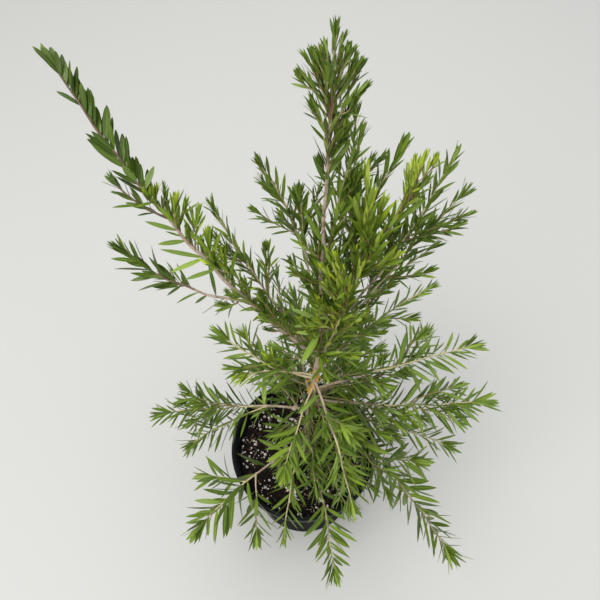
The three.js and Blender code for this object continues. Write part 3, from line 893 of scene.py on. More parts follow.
SHOOTS = [
    Shoot(*row, LOOKS[row[0]])
    for row in (
        ("leader", "trunk", 1, 71, 0.114, 0.93, 0.015, 0.002, 0.0062, 1, 0, 0),
        ("leader_brush", "leader", 1, 75, 0.172, 1.02, 0.002, 0, 0.0038, 0, 6, 0.03),
        ("leader_right", "leader", 0.42, 62, 0.148, 0.885, 0.012, 0, 0.0028, 0, 1, 0.04),
        ("long_left", "trunk", 0.97, 141, 0.382, 0.945, 0.012, 0.036, 0.0072, 0.6, 0, 0.042),
        ("left_high", "long_left", 0.56, 148, 0.281, 0.83, 0.006, 0.012, 0.003, 0, 0, 0.03),
        ("left_outer", "long_left", 0.27, 152, 0.307, 0.7, -0.021, 0.008, 0.0042, 0.36, 1, 0.046),
        ("left_inner", "trunk", 0.99, 128, 0.2, 0.775, 0.004, 0.012, 0.0042, 0.36, 3, 0.038),
        ("left_short", "long_left", 0.1, 106, 0.112, 0.69, 0, 0.007, 0.0032, 0, 1, 0.036),
        ("left_middle", "trunk", 0.8, 148, 0.163, 0.55, -0.003, 0.014, 0.004, 0, 2, 0.042),
        ("left_near", "trunk", 0.82, 171, 0.113, 0.5, 0.008, -0.008, 0.0034, 0, 1, 0.038),
        ("upper_left", "leader", 0.04, 111, 0.151, 0.864, -0.012, -0.03, 0.0042, 0.5, 3, 0.038),
        ("leader_left", "upper_left", 0.5, 90, 0.102, 0.845, 0.003, 0.001, 0.0028, 0, 1, 0.042),
        ("upper_right", "leader", 0.16, 69, 0.204, 0.9, 0.003, -0.01, 0.004, 0.5, 2, 0.036),
        ("right_bright", "trunk", 0.99, 27, 0.171, 0.885, 0.01, 0.012, 0.006, 0.4, 2, 0.042),
        ("right_upright", "right_bright", 0.25, 50, 0.22, 0.86, 0.02, 0.008, 0.0042, 0, 2, 0.04),
        ("right_upper", "right_bright", 0.15, 40, 0.274, 0.84, 0.006, -0.016, 0.0042, 0.36, 3, 0.04),
        ("right_outer", "trunk", 0.97, 34, 0.285, 0.785, 0.026, -0.006, 0.0042, 0.4, 2, 0.04),
        ("right_shoulder", "trunk", 0.93, 31, 0.24, 0.712, 0.008, 0.012, 0.0044, 0, 1, 0.038),
        ("right_middle", "trunk", 0.84, 31, 0.261, 0.59, 0.022, 0.003, 0.004, 0.32, 2, 0.04),
        ("centre_front", "trunk", 0.96, 21, 0.082, 0.79, 0, -0.008, 0.0042, 0, 2, 0.036),
        ("centre_upright", "right_bright", 0.36, 56, 0.14, 0.87, 0.01, -0.018, 0.0046, 0, 3, 0.044),
        ("right_high_spread", "trunk", 0.7, 15, 0.318, 0.485, 0.004, -0.001, 0.0046, 0.36, 1, 0.044),
        ("right_spread", "trunk", 0.61, 3, 0.335, 0.4, -0.002, -0.011, 0.0048, 0.34, 1, 0.05),
        ("right_low_spread", "trunk", 0.5, -8, 0.283, 0.3, 0.018, 0.005, 0.0044, 0, 2, 0.046),
        ("front_right_arch", "trunk", 0.62, -39, 0.346, 0.2, 0.002, 0.02, 0.0052, 0.28, 1, 0.052),
        ("front_right", "trunk", 0.78, -67, 0.195, 0.4, 0.02, 0.003, 0.004, 0.4, 1, 0.046),
        ("front_near", "trunk", 0.74, -106, 0.136, 0.425, 0.005, -0.003, 0.0032, 0, 0, 0.042),
        ("front_low", "trunk", 0.17, -79, 0.26, 0.235, 0.028, 0.005, 0.0042, 0.45, 0, 0.054),
        ("front_hanging", "trunk", 0.17, -102, 0.185, 0.218, 0.03, -0.008, 0.0032, 0, 0, 0.04),
        ("front_left_low", "trunk", 0.13, -141, 0.27, 0.245, 0.032, -0.003, 0.0046, 0.45, 0, 0.052),
        ("front_left_side", "front_left_low", 0.5, -163, 0.207, 0.27, 0.004, 0, 0.0028, 0, 0, 0.044),
        ("front_left_hanging", "front_left_low", 0.42, -116, 0.2, 0.21, 0.008, 0, 0.0028, 0, 0, 0.044),
        ("left_low", "trunk", 0.5, 173, 0.285, 0.32, 0.001, -0.012, 0.0048, 0.34, 1, 0.046),
        ("left_low_side", "left_low", 0.26, -177, 0.228, 0.27, 0.002, -0.005, 0.0032, 0, 0, 0.044),
        ("back_left", "trunk", 0.56, 95, 0.225, 0.4, 0.014, 0, 0.0046, 0.34, 3, 0.046),
        ("back_right", "trunk", 0.42, 60, 0.24, 0.38, 0.014, 0, 0.0046, 0.34, 3, 0.046),
        ("back_high", "trunk", 0.87, 75, 0.24, 0.52, 0.018, 0, 0.0042, 0, 3, 0.044),
        ("back_low", "trunk", 0.33, 118, 0.18, 0.32, 0.012, 0, 0.0038, 0, 2, 0.044),
    )
]


@dataclass(frozen=True)
class Inner:
    """A group of short shoots that fill the crown between the main ones."""

    habit: Habit
    twigs: int
    finer: int
    tone: float
    arch: float = 0.01
    girth: float = 0.0024

    def shoots(self, *rows: tuple) -> list[Shoot]:
        """Sets out the group's shoots.

        Args:
            rows: name, parent, place along it, heading, reach, height and leaf length of each.

        Returns:
            The shoots.
        """
        shape = (self.arch, 0, self.girth, 0, self.twigs)
        look = Look(self.tone, self.habit, self.finer)
        return [Shoot(*row[:-1], *shape, row[-1], look) for row in rows]


INNER_SHOOTS = [
    *Inner(BRUSH, 0, 1, 0.31).shoots(
        ("brush_left", "leader_brush", 0.01, 91, 0.135, 0.985, 0.028),
        ("brush_left_high", "leader_brush", 0.05, 88, 0.15, 0.995, 0.028),
        ("brush_back_left", "leader_brush", 0.1, 85, 0.146, 1.003, 0.028),
        ("brush_back", "leader_brush", 0.16, 79, 0.153, 1.007, 0.028),
        ("brush_back_right", "leader_brush", 0.3, 71, 0.172, 1.006, 0.026),
        ("brush_right_high", "leader_brush", 0.12, 66, 0.164, 1.000, 0.028),
        ("brush_right", "leader_brush", 0.05, 62, 0.16, 0.99, 0.028),
        ("brush_right_low", "leader", 0.97, 56, 0.148, 0.972, 0.03),
        ("leader_low_right", "leader", 0.9, 62, 0.14, 0.945, 0.03),
        ("leader_low_left", "leader", 0.93, 85, 0.132, 0.955, 0.03),
        ("leader_low_far", "leader", 0.88, 64, 0.151, 0.94, 0.032),
        ("leader_low_back", "leader", 0.84, 64, 0.145, 0.915, 0.034),
        ("leader_low_near", "leader", 0.86, 70, 0.141, 0.93, 0.032),
        ("leader_low_between", "leader", 0.87, 66, 0.146, 0.925, 0.034),
    ),
    *Inner(FEATHER, 1, 1, 0.52).shoots(
        ("upper_right_side", "upper_right", 0.6, 62, 0.18, 0.895, 0.034),
        ("leader_side", "leader", 0.25, 60, 0.103, 0.84, 0.04),
        ("leader_near", "leader", 0.12, 79, 0.102, 0.79, 0.04),
        ("leader_inner", "leader", 0.3, 75, 0.096, 0.83, 0.038),
    ),
    *Inner(BRUSH, 0, 1, 0.94).shoots(
        ("bright_left", "right_bright", 0.82, 37, 0.157, 0.89, 0.026),
        ("bright_middle", "right_bright", 0.86, 36, 0.165, 0.9, 0.026),
        ("bright_right", "right_bright", 0.9, 33, 0.178, 0.905, 0.026),
        ("bright_outer", "right_bright", 0.94, 31, 0.184, 0.895, 0.026),
        ("bright_near", "right_bright", 0.88, 34, 0.168, 0.898, 0.026),
    ),
    *Inner(BRUSH, 0, 1, 0.8).shoots(
        ("star_left", "centre_front", 0.45, 55, 0.034, 0.71, 0.03),
        ("star_left_low", "centre_front", 0.38, 57, 0.011, 0.67, 0.03),
        ("star_far_left", "trunk", 0.985, 103, 0.026, 0.67, 0.034),
        ("star_left_high", "centre_front", 0.5, 52, 0.037, 0.79, 0.032),
        ("star_high", "centre_front", 0.55, 38, 0.051, 0.81, 0.032),
        ("star_right_high", "centre_front", 0.6, 29, 0.059, 0.79, 0.032),
        ("star_front", "centre_front", 0.5, 43, 0.041, 0.765, 0.036),
        ("star_front_high", "centre_front", 0.53, 52, 0.049, 0.805, 0.036),
        ("star_right", "centre_front", 0.52, 16, 0.07, 0.72, 0.032),
        ("star_right_low", "centre_front", 0.42, 9, 0.07, 0.68, 0.032),
    ),
    *Inner(RISING, 0, 1, 0.7).shoots(
        ("left_bright", "long_left", 0.4, 139, 0.154, 0.77, 0.04),
        ("left_bright_low", "long_left", 0.33, 140, 0.138, 0.745, 0.04),
        ("left_tuft", "long_left", 0.52, 140, 0.194, 0.812, 0.036),
        ("left_tuft_outer", "long_left", 0.58, 144, 0.207, 0.828, 0.034),
        ("left_tuft_inner", "long_left", 0.46, 135, 0.176, 0.788, 0.036),
    ),
    *Inner(SPRAY, 0, 0, 0.58).shoots(
        ("fork_near", "trunk", 0.985, 39, 0.054, 0.67, 0.034),
        ("fork_left", "trunk", 0.96, 93, 0.056, 0.622, 0.036),
        ("fork_low", "trunk", 0.97, -20, 0.036, 0.615, 0.038),
        ("centre_bright", "trunk", 0.92, 14, 0.092, 0.565, 0.036),
        ("fork_front", "trunk", 0.94, -36, 0.046, 0.575, 0.03),
    ),
    *Inner(SPRAY, 0, 1, 0.34).shoots(
        ("right_fine", "trunk", 0.92, 26, 0.15, 0.6, 0.033),
        ("right_inner", "trunk", 0.72, 28, 0.157, 0.5, 0.033),
        ("right_inner_low", "trunk", 0.66, 16, 0.196, 0.44, 0.038),
        ("right_between", "trunk", 0.68, 14, 0.15, 0.445, 0.038),
        ("right_near_stem", "trunk", 0.58, 20, 0.128, 0.43, 0.038),
        ("right_spread_near", "right_spread", 0.5, -4, 0.284, 0.375, 0.037),
        ("right_spread_far", "right_spread", 0.5, 8, 0.284, 0.415, 0.037),
        ("left_fine", "trunk", 0.72, 146, 0.1, 0.45, 0.04),
        ("left_fine_high", "trunk", 0.86, 132, 0.077, 0.54, 0.033),
        ("left_low_near", "left_low", 0.45, 175, 0.222, 0.3, 0.044),
        ("left_low_far", "left_low", 0.45, 165, 0.25, 0.325, 0.042),
        ("back_inner_high", "trunk", 0.93, 98, 0.13, 0.6, 0.042),
        ("back_inner", "trunk", 0.7, 80, 0.14, 0.48, 0.044),
        ("back_inner_right", "trunk", 0.5, 42, 0.15, 0.4, 0.044),
        ("back_inner_low", "trunk", 0.4, 100, 0.14, 0.36, 0.044),
        ("front_right_inner", "trunk", 0.6, -10, 0.168, 0.36, 0.04),
        ("front_inner", "trunk", 0.55, -33, 0.117, 0.38, 0.04),
        ("front_inner_high", "trunk", 0.65, -58, 0.08, 0.45, 0.037),
        ("front_right_deep", "trunk", 0.4, -43, 0.174, 0.31, 0.04),
        ("front_right_between", "front_right_arch", 0.22, -43, 0.204, 0.335, 0.04),
        ("front_deep", "trunk", 0.35, -80, 0.126, 0.3, 0.036),
        ("front_right_high", "trunk", 0.64, -3, 0.168, 0.41, 0.04),
        ("front_left_inner", "trunk", 0.42, -159, 0.067, 0.34, 0.038),
        ("front_deep_right", "trunk", 0.3, -61, 0.17, 0.27, 0.038),
        ("front_screen", "trunk", 0.58, -91, 0.044, 0.36, 0.036),
        ("front_screen_low", "trunk", 0.44, -66, 0.062, 0.31, 0.036),
    ),
    *Inner(FEATHER, 0, 1, 0.48).shoots(
        ("cover_low", "long_left", 0.06, 126, 0.059, 0.648, 0.032),
        ("cover_low_near", "long_left", 0.1, 153, 0.071, 0.664, 0.032),
        ("cover_middle", "long_left", 0.15, 137, 0.09, 0.684, 0.032),
        ("cover_middle_near", "long_left", 0.2, 154, 0.109, 0.703, 0.032),
        ("cover_high", "long_left", 0.25, 142, 0.127, 0.723, 0.032),
        ("front_screen_high", "trunk", 0.7, -81, 0.032, 0.42, 0.034),
        ("front_tuft", "trunk", 0.74, -40, 0.026, 0.432, 0.028),
    ),
    # A few small old leaves that yellow on the trunk.
    *Inner(SPRAY, 0, 0, 1.7, 0, 0.0016).shoots(
        ("old_tuft", "trunk", 0.92, -13, 0.022, 0.54, 0.0135),
        ("old_tuft_low", "trunk", 0.88, -60, 0.02, 0.522, 0.0135),
    ),
]


@dataclass(frozen=True)
class LoneLeaf:
    """A single large leaf that stands out of the crown."""

    limb: str
    at: float  # place along the limb, as a share
    heading: float
    reach: float
    height: float
    width: float
    kind: LeafKind


LONE_LEAVES = [
    LoneLeaf(*row)
    for row in (
        ("leader", 0.15, -92, 0.019, 0.619, 0.0098, FRESH),
        ("leader", 0.14, 106, 0.029, 0.627, 0.0062, FRESH),
        ("leader", 0.21, 114, 0.026, 0.649, 0.0062, GREEN),
        ("leader", 0.22, 107, 0.047, 0.665, 0.0062, GREEN),
        ("right_bright", 0.75, 30, 0.148, 0.843, 0.0065, YOUNG),
        ("right_bright", 0.75, 26, 0.167, 0.85, 0.0072, GREEN),
        ("right_high_spread", 0.49, 27, 0.195, 0.52, 0.0085, GREEN),
        ("right_high_spread", 0.59, 21, 0.225, 0.502, 0.007, GREEN),
        ("right_bright", 0.86, 40, 0.167, 0.875, 0.0055, DEEP),
        ("long_left", 0.52, 152, 0.222, 0.786, 0.006, GREEN),
        ("long_left", 0.49, 155, 0.201, 0.763, 0.0065, GREEN),
        ("long_left", 0.43, 155, 0.2, 0.753, 0.006, GREEN),
        ("long_left", 0.43, 160, 0.181, 0.732, 0.0065, FRESH),
        ("long_left", 0.39, 159, 0.163, 0.72, 0.006, GREEN),
        ("long_left", 0.74, 146, 0.296, 0.881, 0.0085, DARK_AND_SHADE),
        ("long_left", 0.7, 148, 0.291, 0.872, 0.009, DEEP),
        ("long_left", 0.66, 146, 0.26, 0.845, 0.009, DEEP),
        ("long_left", 0.64, 140, 0.232, 0.838, 0.0085, DEEP),
        ("front_right_inner", 0.28, -26, 0.119, 0.402, 0.0085, FRESH),
        ("front_right_inner", 0.79, -7, 0.213, 0.392, 0.008, DEEP),
        ("right_spread", 0.7, -9, 0.277, 0.398, 0.0065, GREEN),
        ("right_spread", 0.65, -10, 0.254, 0.398, 0.0062, DEEP),
        ("right_spread", 0.78, -5, 0.3, 0.402, 0.006, GREEN),
        ("right_spread", 0.55, -13, 0.208, 0.395, 0.0066, GREEN),
        ("right_spread", 0.49, 12, 0.212, 0.441, 0.007, GREEN),
        ("right_spread", 0.6, 10, 0.246, 0.437, 0.0068, DEEP),
        ("right_high_spread", 0.55, 1, 0.194, 0.462, 0.0064, DEEP),
        ("right_high_spread", 0.64, 5, 0.227, 0.47, 0.006, GREEN),
        ("left_fine", 0.79, 180, 0.064, 0.439, 0.0085, FRESH),
    )
]


@dataclass
class Limb:
    """A stem along a path, tapering evenly from its root to its end."""

    name: str
    path: Path
    root_radius: float
    tip_radius: float
    shoot: Shoot | None = None
    seed: int = 0
    stem_end: float = 1.0

    def radius(self, t: float) -> float:
        """The radius at a share of the length."""
        return lerp(self.root_radius, self.tip_radius, clamp(t, 0, 1))

    def trace(self, step: float = 0.016) -> np.ndarray:
        """Points along the stem, one step apart."""
        count = max(3, math.ceil(self.stem_end * self.path.length / step))
        return np.array([self.path.point(lerp(0, self.stem_end, i / count)) for i in range(count + 1)])


@dataclass
class Leaf:
    """One leaf: where it stands, its two directions, its measures and its kind."""

    root: Vector
    along: Vector
    face: Vector
    length: float
    breadth: float
    kind: LeafKind
    shape: int


@dataclass(frozen=True)
class Spread:
    """How much leaves or twigs differ from one to the next. Angles are in degrees."""

    lean: float
    turn: float
    length: float  # as a share


ALONG, OVER_TIP, STRAY = Spread(8, 18, 0.16), Spread(4, 20, 0.1), Spread(14, 30, 0.25)
SIDE, WHORL = Spread(6, 15, 0.12), Spread(5, 15, 0.12)
FINER, SPUR = Spread(9, 0, 0.15), Spread(8, 0, 0.3)
AGE_SPREAD, STRAY_TONE_SPREAD = 0.24, 0.1

TONE_RISE = 0.2  # how much younger a stem's last leaves are than its first
TIP_LEAVES = 7  # that close over a stem's end
TIP_LEAN, TIP_LEAN_SHARE = 3, 0.6
TIP_PITCH = 0.05  # as a share of the leaf length
TIP_TONE, TIP_TONE_FALL = 0.16, 0.02

LEAF_CLEARANCE, LEAF_PROBES = 0.001, (0.4, 0.7, 1)
TWIG_CLEARANCE, TWIG_PROBES = 0.002, (0.35, 0.6, 0.8, 1)
RIM_WIDTH = 0.012  # inside which a leaf may hang into the pot
TWIG_SAG = -0.003
TWIG_RADIUS, TWIG_GIRTH_SHARE = 0.0015, 0.75  # at most, and of the limb that it grows from
TWIG_START, TWIG_LEAF_SHARE = 0.12, 0.86
USUAL_LEAF, SPUR_LEAF = 0.042, 0.04  # on a shoot whose row gives none
FINER_SEEDS = 500  # where the finer growth's own seeds begin


@dataclass
class Shrub:
    """The growing rule: limbs from the table, then twigs and leaves on each shoot."""

    mix_level: float
    pot_height: float
    pot_rim: float
    foot: Pair = (0.004, 0.004)
    fork_heading: float = 36
    fork_reach: float = 0.034
    fork_height: float = 0.575
    trunk_arch: float = 0.004
    foot_radius: float = 0.0076
    fork_radius: float = 0.0047
    limbs: dict[str, Limb] = field(default_factory=dict)
    leaves: list[Leaf] = field(default_factory=list)
    twigs: list[Limb] = field(default_factory=list)

    def __post_init__(self) -> None:
        """Sets out the trunk and every shoot's limb."""
        foot = Vector((*self.foot, self.mix_level))
        fork = polar(self.fork_heading, self.fork_reach, self.fork_height)
        path = Path(foot, fork, self.trunk_arch)
        self.limbs["trunk"] = Limb("trunk", path, self.foot_radius, self.fork_radius)
        for shoot in SHOOTS + INNER_SHOOTS:
            root = self.limbs[shoot.parent].path.point(shoot.at)
            tip = polar(shoot.heading, shoot.reach, shoot.height)
            path = Path(root, tip, shoot.arch, shoot.sweep)
            tip_radius = BOUGH_TIP_RADIUS if shoot.bare == 1 else TIP_RADIUS
            limb = Limb(shoot.name, path, shoot.girth / 2, tip_radius, shoot, len(self.limbs))
            if shoot.bare < 1:
                limb.stem_end = 1 - min(0.3, 0.62 * shoot.leaf / path.length)
            self.limbs[shoot.name] = limb
        for limb in self.limbs.values():
            limb.path.wobble = KINK_DEPTH if limb.shoot else 0.0
            limb.path.phase = limb.seed * 1.7
        self.traces = {name: limb.trace() for name, limb in self.limbs.items()}

    def distances(self, points: np.ndarray, name: str) -> np.ndarray:
        """The distance from each point to a limb's centre line.

        Args:
            points: N points as an N by 3 array.
            name: the limb.

        Returns:
            N distances.
        """
        trace = self.traces[name]
        start, span = trace[:-1], np.diff(trace, axis=0)
        offset = points[:, None, :] - start[None]
        share = np.clip((offset * span).sum(-1) / (span * span).sum(-1), 0, 1)
        nearest = offset - share[..., None] * span
        return np.sqrt((nearest * nearest).sum(-1).min(1))

    def clear(self, points: np.ndarray, own: str, margin: float) -> np.ndarray:
        """Whether points miss the pot, the mix, the ground and every other limb.

        Args:
            points: N points as an N by 3 array.
            own: the name of the limb that they belong to.
            margin: the clearance.

        Returns:
            N truth values.
        """
        radius = np.hypot(points[:, 0], points[:, 1])
        above_rim = points[:, 2] > self.pot_height + margin
        outside = radius > self.pot_rim + margin
        inner = (points[:, 2] > self.mix_level + margin) & (radius < self.pot_rim - RIM_WIDTH)
        good = (points[:, 2] > margin) & (above_rim | outside | inner)
        for name, limb in self.limbs.items():
            if name != own:
                good &= self.distances(points, name) > margin + limb.radius(0.5)
        return good

    @staticmethod
    def kind_of(tone: float, dice: Dice) -> LeafKind:
        """Deals out a leaf's kind from how young it is.

        Args:
            tone: how young the leaves are there.
            dice: the seeded numbers.

        Returns:
            The kind.
        """
        age = tone + dice.spread(AGE_SPREAD)
        if tone > OLD_TONE:
            return OLD
        return next((kind for limit, kind in KIND_LIMITS if age < limit), YOUNG)

    @staticmethod
    def place_leaf(limb: Limb, t: float, turn: float, lean: float, twist: float) -> tuple:
        """Where a leaf points and faces.

        Args:
            limb: the stem that it stands on.
            t: its place on the stem.
            turn: its turn round the stem, in radians.
            lean: how far it leans away from the stem, in radians.
            twist: how far its blade is turned, in radians.

        Returns:
            Its unit directions along the blade and out of its upper face.
        """
        manner = limb.shoot.look.habit.value
        stem = limb.path.direction(t)
        level = 1 - abs(stem.z)
        turn -= manner.spread * level * math.sin(2 * turn)
        out = limb.path.outward(t, turn)
        along = stem * math.cos(lean) + out * math.sin(lean)
        along = (along + UP * manner.lift).normalized()
        face = lit_face(along, lit_face(along, stem) + LIGHT * (manner.sun * (0.5 + 0.8 * level)))
        across = along.cross(face)
        return along, face * math.cos(twist) + across * math.sin(twist)

    def set_leaves(self, limb: Limb, plan: list[tuple], dice: Dice) -> None:
        """Sets planned leaves on a limb and drops those that would touch something.

        Args:
            limb: the stem.
            plan: each leaf's place, turn, lean, length and tone, with angles in degrees.
            dice: the seeded numbers.
        """
        leaves = []
        manner = limb.shoot.look.habit.value
        for t, turn, lean, length, tone in plan:
            twist = math.radians(dice.spread(manner.twist))
            along, face = self.place_leaf(limb, t, math.radians(turn), math.radians(lean), twist)
            kind = self.kind_of(tone, dice)
            first_blade, blade_count = manner.blades
            shape = first_blade + int(dice.roll() * blade_count)
            breadth = length * manner.breadth * limb.shoot.look.breadth
            leaves.append(Leaf(limb.path.point(t), along, face, length, breadth, kind, shape))
        reached = [[leaf.root + leaf.along * (leaf.length * s) for s in LEAF_PROBES] for leaf in leaves]
        good = self.clear(np.array(reached).reshape(-1, 3), limb.name, LEAF_CLEARANCE)
        good = good.reshape(-1, len(LEAF_PROBES)).all(1)
        self.leaves += [leaf for leaf, keep in zip(leaves, good) if keep]

    def leaves_along(self, limb: Limb, start: float, end: float, size: float, dice: Dice) -> None:
        """Sets leaves round a stem, then a tuft that closes over its end.

        Args:
            limb: the stem.
            start: where the first leaf stands, as a share of the stem.
            end: where the stem ends, as a share.
            size: the leaves' usual length.
            dice: the seeded numbers.
        """
        look = limb.shoot.look
        manner = look.habit.value
        size *= manner.size * look.size
        reach = (end - start) * limb.path.length
        count = max(2, round(reach / (manner.pitch * look.pitch)))
        turn = dice.roll() * FULL_TURN
        plan = []
        for i in range(count):
            share = (i + 0.5) / count
            lean = lerp(manner.lean_root, manner.lean_tip, share) + dice.spread(ALONG.lean)
            full = lerp(0.78, 1.04, math.sin(math.pi * clamp(share + 0.12, 0, 1)))
            length = size * full * (1 + dice.spread(ALONG.length))
            angle = turn + i * LEAF_TURN + dice.spread(ALONG.turn)
            angle, pressed = self.side_of(manner, angle, dice)
            tone = look.tone + TONE_RISE * (share - 0.5)
            plan.append((lerp(start, end, share), angle, lean * pressed, length, tone))
        for i in range(TIP_LEAVES):
            angle = turn + i * LEAF_TURN + dice.spread(OVER_TIP.turn)
            opening = TIP_LEAN_SHARE * manner.lean_tip * i / TIP_LEAVES
            lean = TIP_LEAN + opening + dice.spread(OVER_TIP.lean)
            length = size * lerp(0.68, 0.96, i / TIP_LEAVES) * (1 + dice.spread(OVER_TIP.length))
            t = end - (i * TIP_PITCH * size) / limb.path.length
            plan.append((t, angle, lean, length, look.tone + TIP_TONE - TIP_TONE_FALL * i))
        self.set_leaves(limb, plan, dice)

    @staticmethod
    def side_of(manner: Manner, angle: float, dice: Dice) -> Pair:
        """Moves a leaf to the side of the stem where most leaves stand, or to the one across.

        Args:
            manner: how the leaves are held.
            angle: the leaf's turn round the stem, in degrees.
            dice: the seeded numbers.

        Returns:
            Its new turn, and how far its lean is kept.
        """
        if not manner.crest:
            return angle, 1.0
        crested = dice.roll() < manner.crest
        offset = dice.spread(manner.crest_spread)
        if crested:
            return manner.crest_turn + offset, 1.0
        return manner.crest_turn - 180 + offset, 0.75

    @staticmethod
    def bare_stretch(limb: Limb) -> Limb:
        """Dresses a limb as its bare stretch is.

        Args:
            limb: the limb.

        Returns:
            The same limb in its other dress.
        """
        look = limb.shoot.look
        habit = look.bare_habit or look.habit
        dressed = replace(look, habit=habit, tone=look.tone + look.fresher)
        return replace(limb, shoot=replace(limb.shoot, look=dressed))

    def stray_leaves(self, limb: Limb, dice: Dice) -> None:
        """Sets single leaves on a bough's bare stretch.

        Args:
            limb: the bough.
            dice: the seeded numbers.
        """
        shoot = limb.shoot
        first = 0.014 / limb.path.length
        count = int((shoot.bare - first) * limb.path.length / shoot.look.stray)
        manner = shoot.look.habit.value
        size = (shoot.leaf or USUAL_LEAF) * manner.size * shoot.look.size
        turn = dice.roll() * FULL_TURN
        plan = []
        for i in range(count):
            t = lerp(first, shoot.bare, (i + 0.5) / count)
            lean = manner.lean_root + 8 + dice.spread(STRAY.lean)
            length = size * (1 + dice.spread(STRAY.length))
            angle = turn + i * LEAF_TURN + dice.spread(STRAY.turn)
            angle, _ = self.side_of(manner, angle, dice)
            plan.append((t, angle, lean, length, shoot.look.tone + dice.spread(STRAY_TONE_SPREAD)))
        if plan:
            self.set_leaves(limb, plan, dice)

    def twig(self, limb: Limb, t: float, lean: float, turn: float, length: float) -> list[Limb]:
        """Grows a side twig, unless it would touch something.

        Args:
            limb: the limb that it grows from.
            t: its place on that limb.
            lean: how far it leans away, in degrees.
            turn: its turn round the limb, in degrees.
            length: its length.

        Returns:
            The twig alone, or nothing.
        """
        out = limb.path.outward(t, math.radians(turn))
        slope = math.radians(lean)
        way = limb.path.direction(t) * math.cos(slope) + out * math.sin(slope)
        root = limb.path.point(t)
        path = Path(root, root + way * length, TWIG_SAG)
        samples = np.array([path.point(s) for s in TWIG_PROBES])
        if not self.clear(samples, limb.name, TWIG_CLEARANCE).all():
            return []
        radius = min(TWIG_RADIUS, limb.radius(t) * TWIG_GIRTH_SHARE)
        return [Limb(limb.name, path, radius, TIP_RADIUS, limb.shoot)]

    def side_twigs(self, limb: Limb, start: float, dice: Dice) -> list[Limb]:
        """Grows the side twigs of a shoot's leafy stretch, shorter towards its end.

        Args:
            limb: the shoot.
            start: where the leafy stretch begins, as a share.
            dice: the seeded numbers.

        Returns:
            The twigs that keep clear of everything else.
        """
        twigs = []
        count = limb.shoot.twigs
        leafy = (limb.stem_end - start) * limb.path.length
        turn = dice.roll() * FULL_TURN
        whorl = count > 4
        spread = WHORL if whorl else SIDE
        for i in range(count):
            share = 0.02 + 0.05 * i if whorl else 0.1 + (0.55 * i) / count
            t = lerp(start, limb.stem_end, share + dice.roll() * 0.05)
            lean = (27 if whorl else 40) + dice.spread(spread.lean)
            angle = turn + i * LEAF_TURN + dice.spread(spread.turn)
            full = (0.72 if whorl else 0.5) * leafy * (1 - share)
            length = clamp(full, 0.034, 0.072) * (1 + dice.spread(spread.length))
            twigs += self.twig(limb, t, lean, angle, length)
        return twigs

    def finer_twigs(self, limb: Limb, start: float, dice: Dice) -> list[Limb]:
        """Grows the finer twigs of a shoot, on its leafy stretch and on its bare one.

        Args:
            limb: the shoot.
            start: where the leafy stretch begins, as a share.
            dice: the seeded numbers.

        Returns:
            The twigs that keep clear of everything else.
        """
        shoot = limb.shoot
        finer, spurs = shoot.look.finer, shoot.look.spurs
        twigs = []
        turn = dice.roll() * FULL_TURN
        brush = shoot.look.habit is BRUSH
        for i in range(finer):
            t = lerp(start, limb.stem_end, 0.04 + (0.6 * (i + dice.roll())) / finer)
            lean = (24 if brush else 36) + dice.spread(FINER.lean)
            leafy = (limb.stem_end - t) * limb.path.length
            length = clamp(0.62 * leafy, 0.018, 0.066) * (1 + dice.spread(FINER.length))
            twigs += self.twig(limb, t, lean, turn + i * LEAF_TURN, length)
        farthest = 0.55 if shoot.bare == 1 else 1.0
        bare = self.bare_stretch(limb)
        manner = bare.shoot.look.habit.value
        for i in range(spurs):
            t = shoot.bare * lerp(0.14, farthest, (i + dice.roll()) / spurs)
            lean = (26 if brush else 38) + dice.spread(SPUR.lean)
            length = manner.spur * (1 + dice.spread(SPUR.length))
            angle, _ = self.side_of(manner, turn + 70 + i * LEAF_TURN, dice)
            twigs += self.twig(bare, t, lean, angle, length)
        return twigs

    def lone_leaf(self, row: LoneLeaf) -> Leaf:
        """Sets out a single leaf from its place on its limb to its tip.

        Args:
            row: the leaf's row.

        Returns:
            The leaf.
        """
        root = self.limbs[row.limb].path.point(row.at)
        span = polar(row.heading, row.reach, row.height) - root
        along = span.normalized()
        breadth = row.width / BLADES[0].width
        return Leaf(root, along, lit_face(along, LIGHT), span.length, breadth, row.kind, 0)

    def grow_shoot(self, limb: Limb) -> None:
        """Grows the twigs and leaves of one shoot.

        Args:
            limb: the shoot's limb.
        """
        shoot, length = limb.shoot, limb.path.length
        dice, finer = Dice(limb.seed), Dice(limb.seed + FINER_SEEDS)
        if shoot.bare:
            self.stray_leaves(self.bare_stretch(limb), finer)
        carries_on = shoot.bare > 0 or shoot.at == 1
        start = shoot.bare + (0.004 if carries_on else min(0.026, 0.2 * length)) / length
        twigs = [] if shoot.bare == 1 else self.side_twigs(limb, start, dice)
        twigs += self.finer_twigs(limb, start, finer)
        if shoot.bare < 1:
            first = start if shoot.look.habit is SPRAY else min(start, shoot.bare + 0.05)
            first = max(first, shoot.look.leafless)
            self.leaves_along(limb, first, limb.stem_end, shoot.leaf, finer)
        for twig in twigs:
            self.leaves_along(twig, TWIG_START, 1, (shoot.leaf or SPUR_LEAF) * TWIG_LEAF_SHARE, finer)
        self.twigs += twigs

    def grow(self) -> None:
        """Grows the single leaves, then every shoot."""
        self.leaves += [self.lone_leaf(row) for row in LONE_LEAVES]
        for limb in list(self.limbs.values())[1:]:
            self.grow_shoot(limb)


# ---- Leaves ----


